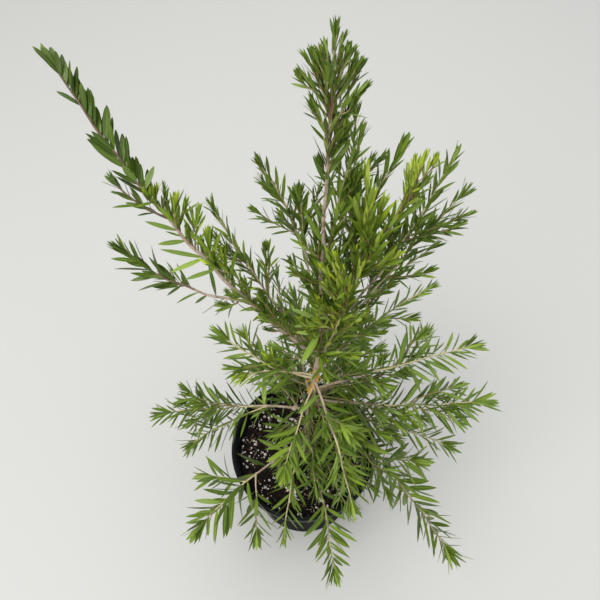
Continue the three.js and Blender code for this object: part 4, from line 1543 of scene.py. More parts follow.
@dataclass(frozen=True)
class Blade:
    """A leaf of unit length along +X that faces +Z: narrow, pointed, folded at its midrib."""

    width: float = 0.185
    bend: float = 0.04  # how far the tip drops
    sway: float = 0.0  # how far the tip moves sideways
    twist: float = 0.0  # degrees from root to tip
    fold: float = 0.16  # how far the edges rise, as a share of the half width
    widest: float = 0.5
    fullness: float = 2.4  # how late the outline narrows towards its ends
    thickness: float = 0.009
    root_share: float = 1.2  # the thickness at the root, as a share
    thinning: float = 0.7  # how much of that is gone at the tip
    rows: tuple[float, ...] = (0.07, 0.19, 0.36, 0.56, 0.74, 0.87, 0.95)

    def half_width(self, s: float) -> float:
        """Half the blade's width at a share of its length: nearly even, then narrow at both ends."""
        off = (self.widest - s) / (self.widest if s < self.widest else self.widest - 1)
        return self.width / 2 * (1 - off**self.fullness)

    def centre(self, s: float) -> Vector:
        """The midrib's place at a share of the blade's length."""
        return Vector((s, self.sway * s * s, -self.bend * s * s))

    def points(self) -> list[Vector]:
        """The blade's root, four points round each of its rows, and its tip."""
        points = [self.centre(0)]
        for s in self.rows:
            middle, half = self.centre(s), self.half_width(s)
            turn = Matrix.Rotation(math.radians(self.twist * s), 3, "X")
            thick = self.thickness * (self.root_share - self.thinning * s)
            ring = ((half, self.fold * half), (0, thick), (-half, self.fold * half), (0, -thick))
            points += [middle + turn @ Vector((0, y, z)) for y, z in ring]
        return [*points, self.centre(1)]

    def mesh(self) -> Mesh:
        """Builds the blade as a thin closed body with sharp margins and a marked underside."""
        points = self.points()
        tip, last = len(points) - 1, len(self.rows) - 1
        faces = []
        for i in range(4):
            j = (i + 1) % 4
            faces.append((0, 1 + j, 1 + i))
            for row in range(last):
                a, b = 1 + 4 * row + i, 1 + 4 * row + j
                faces.append((a, b, b + 4, a + 4))
            faces.append((1 + 4 * last + i, 1 + 4 * last + j, tip))
        mesh = bpy.data.meshes.new("blade")
        mesh.from_pydata(points, [], faces)
        mesh.polygons.foreach_set("use_smooth", [True] * len(faces))
        half = len(faces) // 2
        mark(mesh, "underside", "BOOLEAN", [False] * half + [True] * half, "FACE")
        self._draw_blade_map(mesh, range(1, tip))
        ends = [{v % 4 for v in edge.vertices if 0 < v < tip} for edge in mesh.edges]
        mark(mesh, "sharp_edge", "BOOLEAN", [end in ({1}, {3}) for end in ends], "EDGE")
        return mesh

    @staticmethod
    def _draw_blade_map(mesh: Mesh, ringed: range) -> None:
        """Gives the mesh a map whose U runs across the blade and V along it.

        Args:
            mesh: the blade's mesh.
            ringed: its points between root and tip.
        """
        layer = mesh.uv_layers.new(name="blade")
        sides = (0.5, 0.0, 0.5, 1.0)
        for loop in mesh.loops:
            v = loop.vertex_index
            across = sides[v % 4] if v in ringed else 0.5
            layer.data[loop.index].uv = (across, clamp(mesh.vertices[v].co.x, 0, 1))


BLADES = [
    Blade(),
    Blade(width=0.17, bend=0.12),
    Blade(width=0.195, bend=-0.07, sway=0.03),
    Blade(width=0.18, bend=0.05, sway=0.07),
    Blade(width=0.175, bend=0.06, sway=-0.07),
    Blade(width=0.185, bend=0.03, twist=32),
    Blade(width=0.17, bend=0.09, twist=-28),
    Blade(width=0.155, bend=0.02, sway=-0.03),
    Blade(width=0.2, bend=0.03, widest=0.58, fullness=3.0),
    Blade(width=0.19, bend=0.07, sway=0.04, widest=0.6, fullness=3.0),
    Blade(width=0.205, bend=-0.04, twist=18, widest=0.56, fullness=2.8),
]

# Each kind's colours: upper face, its patches, underside and vein.
LEAF_FINISHES = {
    kind: LeafFinish(f"leaf_{kind.value}", *colours)
    for kind, *colours in (
        # The darkest kind's colours are partly painted shade.
        (DARK_AND_SHADE, (0.042, 0.078, 0.007), (0.028, 0.054, 0.005), (0.09, 0.135, 0.02), (0.10, 0.155, 0.018)),
        (DEEP, (0.064, 0.112, 0.009), (0.042, 0.078, 0.007), (0.11, 0.165, 0.022), (0.13, 0.20, 0.02)),
        (GREEN, (0.108, 0.170, 0.014), (0.072, 0.124, 0.010), (0.15, 0.22, 0.035), (0.19, 0.28, 0.03)),
        (FRESH, (0.176, 0.256, 0.020), (0.120, 0.192, 0.015), (0.21, 0.29, 0.045), (0.26, 0.36, 0.05)),
        (YOUNG, (0.360, 0.440, 0.020), (0.250, 0.350, 0.016), (0.34, 0.42, 0.08), (0.44, 0.50, 0.08)),
        (OLD, (0.56, 0.34, 0.012), (0.36, 0.15, 0.018), (0.44, 0.27, 0.05), (0.60, 0.38, 0.06)),
    )
}


@dataclass
class Foliage:
    """All the leaves, one joined piece for each kind."""

    effects: Effects
    size: float = 1.0  # of every leaf, as a share of its own

    def _tree(self) -> Group:
        """A leaf blade on every point, turned and sized by the point's own values."""
        sockets = [("Blades", "Collection", None), ("Size", "Float", 1.0)]
        sockets += [("Upper Face", "Material", None), ("Underside", "Material", None)]
        tree, given = Tree.growth("leaf_sprays", sockets)
        axes = {
            "Primary Axis": tree.attribute("along", "FLOAT_VECTOR"),
            "Secondary Axis": tree.attribute("face", "FLOAT_VECTOR"),
        }
        turn = tree.add("FunctionNodeAxesToRotation", axes, primary_axis="X", secondary_axis="Z")
        length, breadth = tree.attribute("length", "FLOAT"), tree.attribute("breadth", "FLOAT")
        feeds = {
            "Points": given["Geometry"],
            "Instance Index": tree.attribute("shape", "INT"),
            "Rotation": turn.outputs[0],
            "Scale": tree.vector_math("MULTIPLY", tree.vector(length, breadth, length), given["Size"]),
        }
        upper = tree.realized(tree.scatter(given["Blades"], feeds), given["Upper Face"])
        under = {"Selection": tree.attribute("underside", "BOOLEAN"), "Material": given["Underside"]}
        return tree.close(tree.add("GeometryNodeSetMaterial", {0: upper, **under}).outputs[0])

    @staticmethod
    def _points(leaves: list[Leaf]) -> Mesh:
        """Makes a mesh with one point for each leaf, which carries the leaf's values.

        Args:
            leaves: the leaves.

        Returns:
            The mesh.
        """
        mesh = bpy.data.meshes.new("leaf_points")
        mesh.from_pydata([leaf.root for leaf in leaves], [], [])
        for name in ("along", "face"):
            values = np.array([getattr(leaf, name) for leaf in leaves], np.float32)
            mark(mesh, name, "FLOAT_VECTOR", values.ravel())
        for name, kind in (("length", "FLOAT"), ("breadth", "FLOAT"), ("shape", "INT")):
            mark(mesh, name, kind, [getattr(leaf, name) for leaf in leaves])
        return mesh

    def build(self, leaves: list[Leaf]) -> list[Object]:
        """Makes one piece for each kind of leaf.

        Args:
            leaves: every leaf of the shrub.

        Returns:
            The finished pieces.
        """
        tree = self._tree()
        pieces = []
        with shape_set("blade", [blade.mesh() for blade in BLADES]) as blades:
            for kind, finish in LEAF_FINISHES.items():
                chosen = [leaf for leaf in leaves if leaf.kind is kind]
                upper, under = finish.faces(self.effects)
                inputs = {"Blades": blades, "Size": self.size, "Upper Face": upper, "Underside": under}
                pieces.append(grown(f"leaves_{kind.value}", self._points(chosen), tree, inputs))
        return pieces


# ---- Limbs ----


@dataclass
class Stem:
    """A drawn length of limb with a radius at each of its points."""

    points: list[Vector]
    radii: list[float]


@dataclass(frozen=True)
class Skin:
    """The skin of one group of stems."""

    sides: int
    relief: float
    scale: float  # how close together the relief's lumps lie
    finish: BarkFinish | StemFinish


SKINS = {
    "boughs": Skin(14, 0.0009, 420.0, BarkFinish()),
    "stems": Skin(8, 0.0006, 300.0, StemFinish("stem_tan", (0.46, 0.37, 0.22), (0.36, 0.32, 0.15))),
    "stems_ruddy": Skin(
        8, 0.0005, 300.0, StemFinish("stem_ruddy", (0.085, 0.042, 0.028), (0.15, 0.095, 0.055))
    ),
    "twigs": Skin(6, 0.0003, 300.0, StemFinish("stem_young", (0.20, 0.19, 0.065), (0.21, 0.125, 0.06))),
}


@dataclass
class Branches:
    """The boughs and the finer stems, as tubes that follow their limbs."""

    effects: Effects
    ring_length: float = 0.0045
    bough_collar: float = 0.5  # how much thicker a bough is where it leaves its parent
    stem_collar: float = 0.3
    collar_length: float = 0.006
    relief_detail: float = 3.0

    def _tree(self) -> Group:
        """A round tube along each line, with knots and ridges in its skin."""
        sockets = [("Sides", "Int", 8), ("Relief", "Float", 0.0002)]
        sockets += [("Relief Scale", "Float", 260.0), ("Finish", "Material", None)]
        tree, given = Tree.growth("tubes", sockets)
        curve = tree.add("GeometryNodeMeshToCurve", {0: given["Geometry"]}).outputs[0]
        circle = {"Radius": 1.0, "Resolution": given["Sides"]}
        ring = tree.add("GeometryNodeCurvePrimitiveCircle", circle).outputs[0]
        radius = tree.attribute("thickness", "FLOAT")
        feeds = {0: curve, 1: ring, "Scale": radius, "Fill Caps": True}
        tube = tree.add("GeometryNodeCurveToMesh", feeds).outputs[0]
        place = tree.add("GeometryNodeInputPosition").outputs[0]
        lumps = tree.clouds(place, given["Relief Scale"], self.relief_detail)
        height = tree.math("MULTIPLY", tree.math("SUBTRACT", lumps, 0.5), given["Relief"])
        normal = tree.add("GeometryNodeInputNormal").outputs[0]
        offset = tree.add("ShaderNodeVectorMath", {0: normal, "Scale": height}, operation="SCALE")
        moved = tree.add("GeometryNodeSetPosition", {0: tube, "Offset": offset.outputs[0]})
        smooth = tree.add("GeometryNodeSetShadeSmooth", {0: moved.outputs[0]})
        return tree.close(tree.realized(smooth.outputs[0], given["Finish"]))

    def stem(self, limb: Limb, start: float, end: float, collar: float) -> Stem:
        """Draws a length of limb.

        Args:
            limb: the limb.
            start: where it is drawn from, as a share of its length.
            end: where it is drawn to.
            collar: how much thicker it is where it leaves its parent.

        Returns:
            Its points and radii.
        """
        count = max(3, round((end - start) * limb.path.length / self.ring_length))
        points, radii = [], []
        for i in range(count + 1):
            t = lerp(start, end, i / count)
            swell = 1 + collar * math.exp(-t * limb.path.length / self.collar_length)
            points.append(limb.path.point(t))
            radii.append(limb.radius(t) * swell)
        return Stem(points, radii)

    @staticmethod
    def _lines(stems: list[Stem]) -> Mesh:
        """Makes a mesh of separate lines with a radius at each point.

        Args:
            stems: the drawn lengths of limb.

        Returns:
            The mesh.
        """
        points, edges, radii = [], [], []
        for stem in stems:
            first = len(points)
            points += stem.points
            radii += stem.radii
            edges += [(first + i, first + i + 1) for i in range(len(stem.points) - 1)]
        mesh = bpy.data.meshes.new("stem_lines")
        mesh.from_pydata(points, edges, [])
        mark(mesh, "thickness", "FLOAT", radii)
        return mesh

    def _groups(self, shrub: Shrub) -> dict[str, list[Stem]]:
        """Draws every limb but the trunk and sorts what is drawn by its skin.

        Args:
            shrub: the grown shrub.

        Returns:
            The drawn lengths of limb by the name of their skin.
        """
        groups = {name: [] for name in SKINS}
        groups["twigs"] += [self.stem(twig, 0, 1, self.stem_collar) for twig in shrub.twigs]
        inner = {shoot.name for shoot in INNER_SHOOTS}
        for limb in list(shrub.limbs.values())[1:]:
            shoot = limb.shoot
            if shoot.bare > 0:
                groups["boughs"].append(self.stem(limb, 0, shoot.bare, self.bough_collar))
            if shoot.bare < 1:
                plain = "twigs" if shoot.name in inner else "stems"
                name = "stems_ruddy" if shoot.look.ruddy else plain
                collar = self.stem_collar if shoot.at < 1 and not shoot.bare else 0.0
                groups[name].append(self.stem(limb, shoot.bare, limb.stem_end, collar))
        return groups

    def build(self, shrub: Shrub) -> dict[str, Object]:
        """Makes the boughs, the stems of the shoots and the twigs.

        Args:
            shrub: the grown shrub.

        Returns:
            The finished pieces by name.
        """
        tree = self._tree()
        pieces = {}
        for name, stems in self._groups(shrub).items():
            skin = SKINS[name]
            inputs = {"Sides": skin.sides, "Relief": skin.relief, "Relief Scale": skin.scale}
            inputs["Finish"] = skin.finish.make(self.effects)
            pieces[name] = grown(name, self._lines(stems), tree, inputs)
        return pieces


@dataclass
class Trunk:
    """The main stem with its root flare and fissured bark."""

    effects: Effects
    flare_radius: float = 0.0065
    flare_height: float = 0.011
    flare_lobes: int = 5
    lobe_depth: float = 0.35
    sides: int = 28
    rings: int = 190
    crowding: float = 1.25  # how much closer the rings stand at the foot
    relief: float = 0.0006
    ridges: Pair = (3.2, 55)  # how many there are around and along the stem
    ridge_noise: tuple[float, float, int] = (0.6, 2.1, 4)
    knots: Pair = (1.3, 90)
    knot_shift: float = 7  # keeps the knots apart from the ridges
    knot_least: float = 0.2  # below which a knot doesn't show

    def skin(self, out: Vector, z: float) -> float:
        """How far the bark stands out.

        Args:
            out: the level unit direction from the stem's middle.
            z: the height.

        Returns:
            The relief.
        """
        around, along = self.ridges
        ridge = noise.fractal(Vector((out.x * around, out.y * around, z * along)), *self.ridge_noise)
        around, along = self.knots
        knot = noise.noise(Vector((out.x * around, out.y * around, z * along + self.knot_shift)))
        return self.relief * (ridge + max(0.0, knot - self.knot_least))

    def build(self, limb: Limb) -> Object:
        """Makes the trunk from level rings, from its flat cut to the fork.

        Args:
            limb: the trunk's limb.

        Returns:
            The finished piece.
        """
        work = bmesh.new()
        level = limb.path.start.z
        rows = []
        for ring in range(self.rings + 1):
            t = (ring / self.rings) ** self.crowding
            centre = limb.path.point(t)
            swell = self.flare_radius * math.exp(-(centre.z - level) / self.flare_height)
            row = []
            for i in range(self.sides):
                angle = 2 * math.pi * i / self.sides
                out = Vector((math.cos(angle), math.sin(angle), 0))
                lobe = 1 + self.lobe_depth * math.cos(self.flare_lobes * angle)
                radius = limb.radius(t) + swell * lobe + self.skin(out, centre.z)
                row.append(work.verts.new(centre + out * radius))
            rows.append(row)
        for low, high in zip(rows, rows[1:]):
            for i in range(self.sides):
                j = (i + 1) % self.sides
                work.faces.new((low[i], low[j], high[j], high[i])).smooth = True
        work.faces.new(rows[0][::-1])
        work.faces.new(rows[-1])
        finish = BarkFinish("trunk_bark")
        return linked(finish.name, mesh_from(work, finish.name), finish.make(self.effects))


# ---- Pot and mix ----


def revolved(name: str, profile: list[Pair], sides: int) -> Mesh:
    """Turns a profile round +Z. Its first and last points lie on the axis.

    Args:
        name: the mesh's name.
        profile: radius and height of each point, from the bottom round the outside to the top.
        sides: how many faces go round.

    Returns:
        A closed mesh with smooth faces.
    """
    work = bmesh.new()
    rows = []
    for radius, z in profile[1:-1]:
        angles = [2 * math.pi * i / sides for i in range(sides)]
        rows.append([work.verts.new((radius * math.cos(a), radius * math.sin(a), z)) for a in angles])
    foot = work.verts.new((0, 0, profile[0][1]))
    top = work.verts.new((0, 0, profile[-1][1]))
    for i in range(sides):
        j = (i + 1) % sides
        work.faces.new((foot, rows[0][j], rows[0][i]))
        work.faces.new((top, rows[-1][i], rows[-1][j]))
        for low, high in zip(rows, rows[1:]):
            work.faces.new((low[i], low[j], high[j], high[i]))
    for face in work.faces:
        face.smooth = True
    return mesh_from(work, name)


@dataclass
class NurseryPot:
    """The black nursery pot: tapered wall, stepped lip with a rolled top, and drain slots."""

    effects: Effects
    height: float
    rim_radius: float
    base_radius: float = 0.1075
    # In from the base's radius and up from the ground, where the foot rounds into the wall.
    foot_points: tuple[Pair, ...] = ((0.004, 0.0), (0.0016, 0.0006))
    wall_foot: float = 0.003
    wall: float = 0.0022
    wall_rows: tuple[float, int] = (0.012, 12)  # the level of the first, and how many there are
    inner_rows: tuple[float, int] = (0.008, 8)  # the level of the last, and how many there are
    floor: float = 0.003
    floor_inset: float = 0.004
    lip_height: float = 0.022
    lip_step: float = 0.005
    lip_gap: float = 0.0015  # further in, to where the wall would end
    lip_round: float = 0.0045
    lip_steps: int = 8
    # Out from the wall and up from the lip's foot, then in from the rim and up from it.
    under_lip: Pair = (0.0004, -0.0014)
    lip_points: tuple[Pair, ...] = ((0.0024, -0.0002), (0.0011, 0.0012), (0.0006, 0.005))
    below_lip: Pair = (0.004, 0.02)  # the room left outside and inside
    sides: int = 144
    drains: int = 8
    drain_depth: float = 0.024
    drain_width: float = 0.012
    drain_height: float = 0.016
    drain_level: float = 0.014
    crease: float = 32

    @property
    def lip_foot(self) -> float:
        """The level where the lip begins."""
        return self.height - self.lip_height

    def wall_radius(self, z: float) -> float:
        """The wall's outer radius at a height, below the lip."""
        top = self.rim_radius - self.lip_step - self.lip_gap
        return lerp(self.base_radius, top, z / self.height)

    def _outside(self) -> list[Pair]:
        """The section from the middle of the underside up to the lip's edge."""
        first, count = self.wall_rows
        out, rise = self.under_lip
        levels = np.linspace(first, self.lip_foot - self.below_lip[0], count)
        return [
            (0.0, 0.0),
            *((self.base_radius - inset, z) for inset, z in self.foot_points),
            *((self.wall_radius(z), z) for z in (self.wall_foot, *levels)),
            (self.wall_radius(self.lip_foot) + out, self.lip_foot + rise),
            *((self.rim_radius - inset, self.lip_foot + up) for inset, up in self.lip_points),
        ]

    def profile(self) -> list[Pair]:
        """The pot's section, from the middle of its underside to the middle of its floor."""
        roll = self.height - self.lip_round
        points = [*self._outside(), (self.rim_radius, roll)]
        for step in range(1, self.lip_steps):
            angle = math.pi * step / self.lip_steps
            radius = self.rim_radius - self.lip_round + self.lip_round * math.cos(angle)
            points.append((radius, self.height - self.lip_round * (1 - math.sin(angle))))
        points.append((self.rim_radius - 2 * self.lip_round, roll))
        last, count = self.inner_rows
        levels = (self.lip_foot, *np.linspace(self.lip_foot - self.below_lip[1], last, count))
        points += [(self.wall_radius(z) - self.wall, z) for z in levels]
        corner = self.base_radius - self.wall - self.floor_inset
        return [*points, (corner, self.floor), (0.0, self.floor)]

    def _slots(self) -> Object:
        """The blocks that cut the drain slots."""
        work = bmesh.new()
        for i in range(self.drains):
            turn = Matrix.Rotation(2 * math.pi * (i + 0.5) / self.drains, 4, "Z")
            centre = Vector((self.base_radius, 0, self.drain_level + self.drain_height / 2))
            size = Matrix.Diagonal((self.drain_depth, self.drain_width, self.drain_height, 1))
            bmesh.ops.create_cube(work, size=1, matrix=turn @ Matrix.Translation(centre) @ size)
        return linked("slots", mesh_from(work, "slots"))

    def build(self) -> Object:
        """Makes the pot: its turned shell, less the drain slots."""
        mesh = revolved("pot_shell", self.profile(), self.sides)
        pot = linked("pot_shell", mesh, PlasticFinish(self.lip_foot).make(self.effects))
        slots = self._slots()
        cut = pot.modifiers.new("drains", "BOOLEAN")
        cut.operation, cut.solver, cut.object = "DIFFERENCE", "EXACT", slots
        shell = evaluated(pot)
        pot.modifiers.clear()
        bpy.data.objects.remove(slots)
        shell.set_sharp_from_angle(angle=math.radians(self.crease))
        pot.data = shell
        return pot


@dataclass(frozen=True)
class Grain:
    """One kind of thing that lies in the mix."""

    finish: GrainFinish
    stretch: tuple[float, float, float]  # its size along each axis, as shares
    density: float  # how many are thrown on a square metre, before they keep their distance
    spacing: float
    smallest: float
    largest: float
    skew: float  # how much rarer the large ones are
    clumping: float  # how cloudy the mix has to be for them to lie there
    tilt: float  # radians
    lift: float
    detail: int = 1  # how finely its round is divided


GRAINS = {
    "mix_perlite": Grain(
        GrainFinish("perlite", (0.78, 0.74, 0.69), (0.52, 0.44, 0.38), 400.0, 0.0004),
        (1.0, 0.85, 0.75), 24000.0, 0.0034, 0.0017, 0.0074, 2.6, 0.485, math.pi, 0.0007, 2,
    ),
    # The bark shreds' dark browns are partly painted shade from the foliage above.
    "mix_bark": Grain(
        GrainFinish("bark_shreds_and_shade", (0.040, 0.017, 0.009), (0.010, 0.0062, 0.0045), 200.0, 0.0006),
        (1.0, 0.40, 0.18), 14000.0, 0.004, 0.005, 0.013, 1.4, 0.0, 0.45, 0.0004,
    ),
    "mix_fibre": Grain(
        GrainFinish("fibre", (0.34, 0.24, 0.15), (0.15, 0.09, 0.05), 200.0, 0.0004),
        (1.0, 0.09, 0.07), 3200.0, 0.006, 0.006, 0.020, 1.6, 0.42, 0.4, 0.0010,
    ),
    # The crumbs' near-black browns are partly painted shade from the foliage above.
    "mix_crumbs": Grain(
        GrainFinish("crumbs", (0.0090, 0.0056, 0.0040), (0.0036, 0.0026, 0.0020), 300.0, 0.0006),
        (1.0, 0.8, 0.7), 60000.0, 0.0022, 0.0015, 0.0052, 1.4, 0.0, math.pi, 0.0,
    ),
}
GRAIN_SIZES = ("density", "spacing", "smallest", "largest", "skew", "clumping", "tilt", "lift")
# The soil's own near-black brown, darkened further as painted shade from the foliage above.
SOIL_AND_SHADE = GrainFinish("mix_soil_and_shade", (0.0034, 0.0024, 0.0019), (0.0105, 0.0064, 0.0042))


@dataclass(frozen=True)
class Lumps:
    """One size of lumps in the mix's top."""

    share: float
    scale: float
    roughness: float
    octaves: int

    def at(self, place: Vector) -> float:
        """How far the lumps stand out at a place."""
        return self.share * noise.fractal(place * self.scale, self.roughness, 2.0, self.octaves)


@dataclass
class PottingMix:
    """The mix in the pot: a rough surface with bark, crumbs and perlite lying in it."""

    effects: Effects
    pot: NurseryPot
    crown_level: float
    edge_level: float
    crown_radius: float = 0.032
    shoulder_share: float = 2.4  # the gentle slope's outer radius, in crown radii
    shoulder_drop: float = 0.002
    foot_level: float = 0.009
    foot_inset: float = 0.006
    edge_round: float = 0.006
    gap: float = 0.0006  # to the wall
    floor_gap: float = 0.0003
    rings: int = 64
    sides: int = 168
    relief: float = 0.0035
    settling: float = 0.001
    coarse: Lumps = Lumps(0.7, 75, 0.7, 5)
    fine: Lumps = Lumps(0.35, 420, 0.8, 3)
    rough_margin: float = 0.003  # how far below the edge level the top is still rough
    calm_radius: float = 0.03  # round the stem, inside which the top is smoother
    calm_share: float = 0.15
    least_facing: float = 0.3  # how far up a face has to look, for grains to lie on it
    grain_margin: float = 0.02
    wall_margin: float = 0.001
    drift_scale: float = 34.0
    drift_detail: float = 2.0
    grain_shapes: int = 5
    first_seed: int = 11
    lumpiness: float = 0.42
    lump_scale: float = 2.6

    @property
    def edge_radius(self) -> float:
        """The radius inside the pot's wall, at the mix's edge."""
        return self.pot.wall_radius(self.edge_level) - self.pot.wall

    def surface_level(self, radius: float) -> float:
        """The mix's level at a distance from the pot's middle.

        Args:
            radius: the distance.

        Returns:
            The level.
        """
        shoulder = self.crown_radius * self.shoulder_share
        low = self.crown_level - self.shoulder_drop
        if radius < self.crown_radius:
            return self.crown_level
        if radius < shoulder:
            share = (radius - self.crown_radius) / (shoulder - self.crown_radius)
            return lerp(self.crown_level, low, share)
        share = clamp((radius - shoulder) / (self.edge_radius - shoulder), 0, 1)
        return lerp(low, self.edge_level, share)

    def body(self) -> Mesh:
        """Makes the body of the mix with its rough top."""
        levels = (self.foot_level, self.edge_level - self.edge_round)
        side = [(self.pot.wall_radius(z) - self.pot.wall - self.gap, z) for z in levels]
        foot = self.pot.floor + self.floor_gap
        profile = [(0.0, foot), (side[0][0] - self.foot_inset, foot), *side]
        for i in range(self.rings):
            radius = side[1][0] * (1 - i / self.rings)
            profile.append((radius, self.surface_level(radius)))
        profile.append((0.0, self.crown_level))
        mesh = revolved("mix_body", profile, self.sides)
        for vertex in mesh.vertices:
            place = vertex.co
            if place.z > self.edge_level - self.rough_margin:
                calm = clamp(math.hypot(place.x, place.y) / self.calm_radius, self.calm_share, 1)
                lumps = self.coarse.at(place) + self.fine.at(place)
                place.z += calm * self.relief * lumps - self.settling
        return mesh

    def _tree(self) -> Group:
        """Grains strewn over the upward faces, turned and sized at random."""
        sockets = [("Grains", "Collection", None), ("Seed", "Int", 1), ("Finish", "Material", None)]
        sockets += [(name.capitalize(), "Float", 0.0) for name in (*GRAIN_SIZES, "reach")]
        tree, given = Tree.growth("strewn_grains", sockets)
        place = tree.add("GeometryNodeInputPosition").outputs[0]
        normal = tree.add("GeometryNodeInputNormal").outputs[0]
        flat = tree.vector_math("MULTIPLY", place, (1.0, 1.0, 0.0))
        distance = tree.add("ShaderNodeVectorMath", {0: flat}, operation="LENGTH").outputs["Value"]
        drifts = tree.clouds(place, self.drift_scale, self.drift_detail)
        chosen = tree.math("GREATER_THAN", tree.part(normal, "Z"), self.least_facing)
        for also in (
            tree.math("LESS_THAN", distance, given["Reach"]),
            tree.math("GREATER_THAN", tree.part(place, "Z"), self.edge_level - self.grain_margin),
            tree.math("GREATER_THAN", drifts, given["Clumping"]),
        ):
            chosen = tree.math("MULTIPLY", chosen, also)
        feeds = {
            "Mesh": given["Geometry"],
            "Selection": chosen,
            "Distance Min": given["Spacing"],
            "Density Max": given["Density"],
            "Seed": given["Seed"],
        }
        kind = "GeometryNodeDistributePointsOnFaces"
        points = tree.add(kind, feeds, distribute_method="POISSON").outputs["Points"]
        lift = {0: points, "Offset": tree.vector(z=given["Lift"])}
        tilt, least = given["Tilt"], tree.math("MULTIPLY", given["Tilt"], -1.0)
        turns = {0: tree.vector(least, least, -math.pi), 1: tree.vector(tilt, tilt, math.pi)}
        seed = {"Seed": given["Seed"]}
        turns.update(seed)
        spin = tree.add("FunctionNodeRandomValue", turns, data_type="FLOAT_VECTOR").outputs[0]
        chance = tree.add("FunctionNodeRandomValue", seed, data_type="FLOAT").outputs[1]
        growth = tree.math("POWER", chance, given["Skew"])
        span = tree.math("SUBTRACT", given["Largest"], given["Smallest"])
        grains = {
            "Points": tree.add("GeometryNodeSetPosition", lift).outputs[0],
            "Rotation": tree.add("FunctionNodeEulerToRotation", {0: spin}).outputs[0],
            "Scale": tree.math("ADD", given["Smallest"], tree.math("MULTIPLY", growth, span)),
        }
        return tree.close(tree.realized(tree.scatter(given["Grains"], grains), given["Finish"]))

    def _grain(self, seed: int, grain: Grain) -> Mesh:
        """Makes a lumpy grain of about unit size.

        Args:
            seed: which lumps it has.
            grain: its kind.

        Returns:
            The mesh.
        """
        work = bmesh.new()
        bmesh.ops.create_icosphere(work, subdivisions=grain.detail, radius=0.5)
        shift = Vector((seed * 5.3, seed, 0))
        for vertex in work.verts:
            lump = 1 + self.lumpiness * noise.noise(vertex.co * self.lump_scale + shift)
            vertex.co = Vector([a * b * lump for a, b in zip(vertex.co, grain.stretch)])
        return mesh_from(work, "grain")

    def build(self) -> dict[str, Object]:
        """Makes the body of the mix and the grains on it, and gives the pieces by name."""
        pieces = {"mix_body": linked("mix_body", self.body(), SOIL_AND_SHADE.make(self.effects))}
        tree = self._tree()
        for seed, (name, grain) in enumerate(GRAINS.items(), start=self.first_seed):
            inputs = {size.capitalize(): getattr(grain, size) for size in GRAIN_SIZES}
            inputs["Reach"] = self.edge_radius - grain.largest / 2 - self.wall_margin
            inputs["Seed"], inputs["Finish"] = seed, grain.finish.make(self.effects)
            shapes = [self._grain(seed * 10 + i, grain) for i in range(self.grain_shapes)]
            with shape_set("grain", shapes) as grains:
                inputs["Grains"] = grains
                pieces[name] = grown(name, self.body(), tree, inputs)
        return pieces


# ---- Studio ----


@dataclass(frozen=True)
class Lamp:
    """A square soft light that faces the middle of the shrub."""

    name: str
    place: tuple[float, float, float]
    power: float
    colour: Colour
    size: float = 2.0
    aim: tuple[float, float, float] = (0.0, 0.0, 0.5)

    def hang(self) -> None:
        """Hangs the lamp."""
        data = bpy.data.lights.new(self.name, "AREA")
        data.size, data.energy, data.color = self.size, self.power, self.colour
        lamp = linked(self.name, data)
        lamp.location = self.place
        way = Vector(self.aim) - Vector(self.place)
        lamp.rotation_euler = way.to_track_quat("-Z", "Y").to_euler()


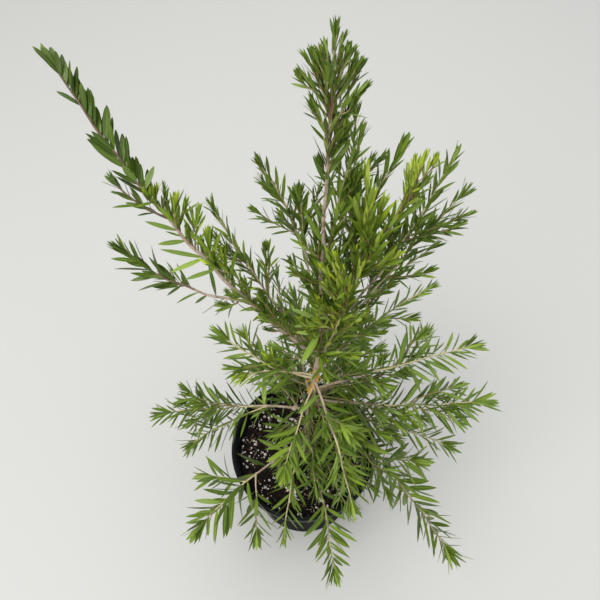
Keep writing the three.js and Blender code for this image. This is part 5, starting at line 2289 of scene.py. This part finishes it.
@dataclass(frozen=True)
class Studio:
    """The pale floor, the soft lights and the camera of a standing viewer who looks down."""

    eye_height: float = 1.367
    eye_back: float = 0.405
    pitch: float = 56.6  # below the horizon
    roll: float = -1.4
    lens: float = 36.0
    sensor: float = 36.0
    clip: Pair = (0.02, 60)
    floor_half: float = 9.0
    floor_colour: Colour = (0.46, 0.452, 0.43)
    floor_roughness: float = 0.8
    sky: Colour = (0.95, 0.98, 1.0)
    horizon: Colour = (0.20, 0.205, 0.21)
    sky_strength: float = 1.35
    sky_top: float = 0.95  # how far up the horizon's colour still shows
    lamps: tuple[Lamp, ...] = (
        Lamp("key", (-1.2, -1.0, 2.9), 66.0, (1.0, 0.99, 0.96)),
        Lamp("fill", (1.9, -0.6, 2.2), 10.0, (0.94, 0.97, 1.0)),
        Lamp("back", (0.3, 2.2, 2.4), 16.0, (1.0, 1.0, 1.0)),
    )

    def camera(self) -> None:
        """Sets up the scene's camera."""
        data = bpy.data.cameras.new("view")
        data.sensor_width, data.lens = self.sensor, self.lens
        data.clip_start, data.clip_end = self.clip
        view = linked("view", data)
        tilt = Matrix.Rotation(math.radians(90 - self.pitch), 4, "X")
        turn = Matrix.Rotation(math.radians(self.roll), 4, "Z")
        view.matrix_world = Matrix.Translation((0, -self.eye_back, self.eye_height)) @ tilt @ turn
        bpy.context.scene.camera = view

    def floor(self) -> None:
        """Lays the plain floor."""
        mesh = bpy.data.meshes.new("floor")
        corners = ((-1, -1), (1, -1), (1, 1), (-1, 1))
        points = [(x * self.floor_half, y * self.floor_half, 0) for x, y in corners]
        mesh.from_pydata(points, [], [(0, 1, 2, 3)])
        material = bpy.data.materials.new("floor")
        material.use_nodes = True
        shader = material.node_tree.nodes["Principled BSDF"]
        shader.inputs["Base Color"].default_value = rgba(self.floor_colour)
        shader.inputs["Roughness"].default_value = self.floor_roughness
        linked("floor", mesh, material)

    def backdrop(self) -> None:
        """Sets up the sky, grey at the horizon and pale overhead."""
        world = bpy.data.worlds.new("sky")
        world.use_nodes = True
        tree = Tree(world.node_tree)
        back = world.node_tree.nodes["Background"]
        way = tree.add("ShaderNodeTexCoord").outputs["Generated"]
        height = tree.ramp(tree.part(way, "Z"), 0.0, self.sky_top)
        tree.feed(back.inputs["Color"], tree.mix(height, rgba(self.horizon), rgba(self.sky)))
        back.inputs["Strength"].default_value = self.sky_strength
        bpy.context.scene.world = world

    def build(self) -> None:
        """Sets up the camera, the floor, the lights and the sky."""
        self.camera()
        self.floor()
        for lamp in self.lamps:
            lamp.hang()
        self.backdrop()
        bpy.context.scene.view_settings.view_transform = "Standard"


# ---- The whole ----


MIX_SLOPE = 0.005  # how much lower the mix lies at its edge than at its crown


def nodes_of(kind: str) -> list[str]:
    """The frame's nodes of one kind, such as bough or foliage."""
    return [node for node in sorted(frame["nodes"]) if node.startswith(f"{kind}_")]


def main() -> None:
    """Builds the studio, the pot, the mix and the shrub, and seats each piece on the frame."""
    logging.basicConfig(level=logging.INFO, format="%(name)s: %(message)s")
    Studio().build()
    effects = Effects()
    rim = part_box("pot")[1]
    pot = NurseryPot(effects, rim.z, rim.x)
    seat(pot.build(), ["pot"])
    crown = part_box("potting_mix")[1].z
    mix = PottingMix(effects, pot, crown, crown - MIX_SLOPE)
    for name, piece in mix.build().items():
        seat(piece, ["potting_mix"] if name == "mix_body" else [])
    shrub = Shrub(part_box("trunk")[0].z, pot.height, pot.rim_radius)
    shrub.grow()
    log.info("%d leaves on %d shoots and %d twigs", len(shrub.leaves), len(SHOOTS), len(shrub.twigs))
    seat(Trunk(effects).build(shrub.limbs["trunk"]), ["trunk"])
    replaced = {"boughs": nodes_of("bough"), "stems": nodes_of("foliage")}
    for name, piece in Branches(effects).build(shrub).items():
        seat(piece, replaced.get(name, []))
    for piece in Foliage(effects).build(shrub.leaves):
        seat(piece, [])


if __name__ == "__main__":
    main()
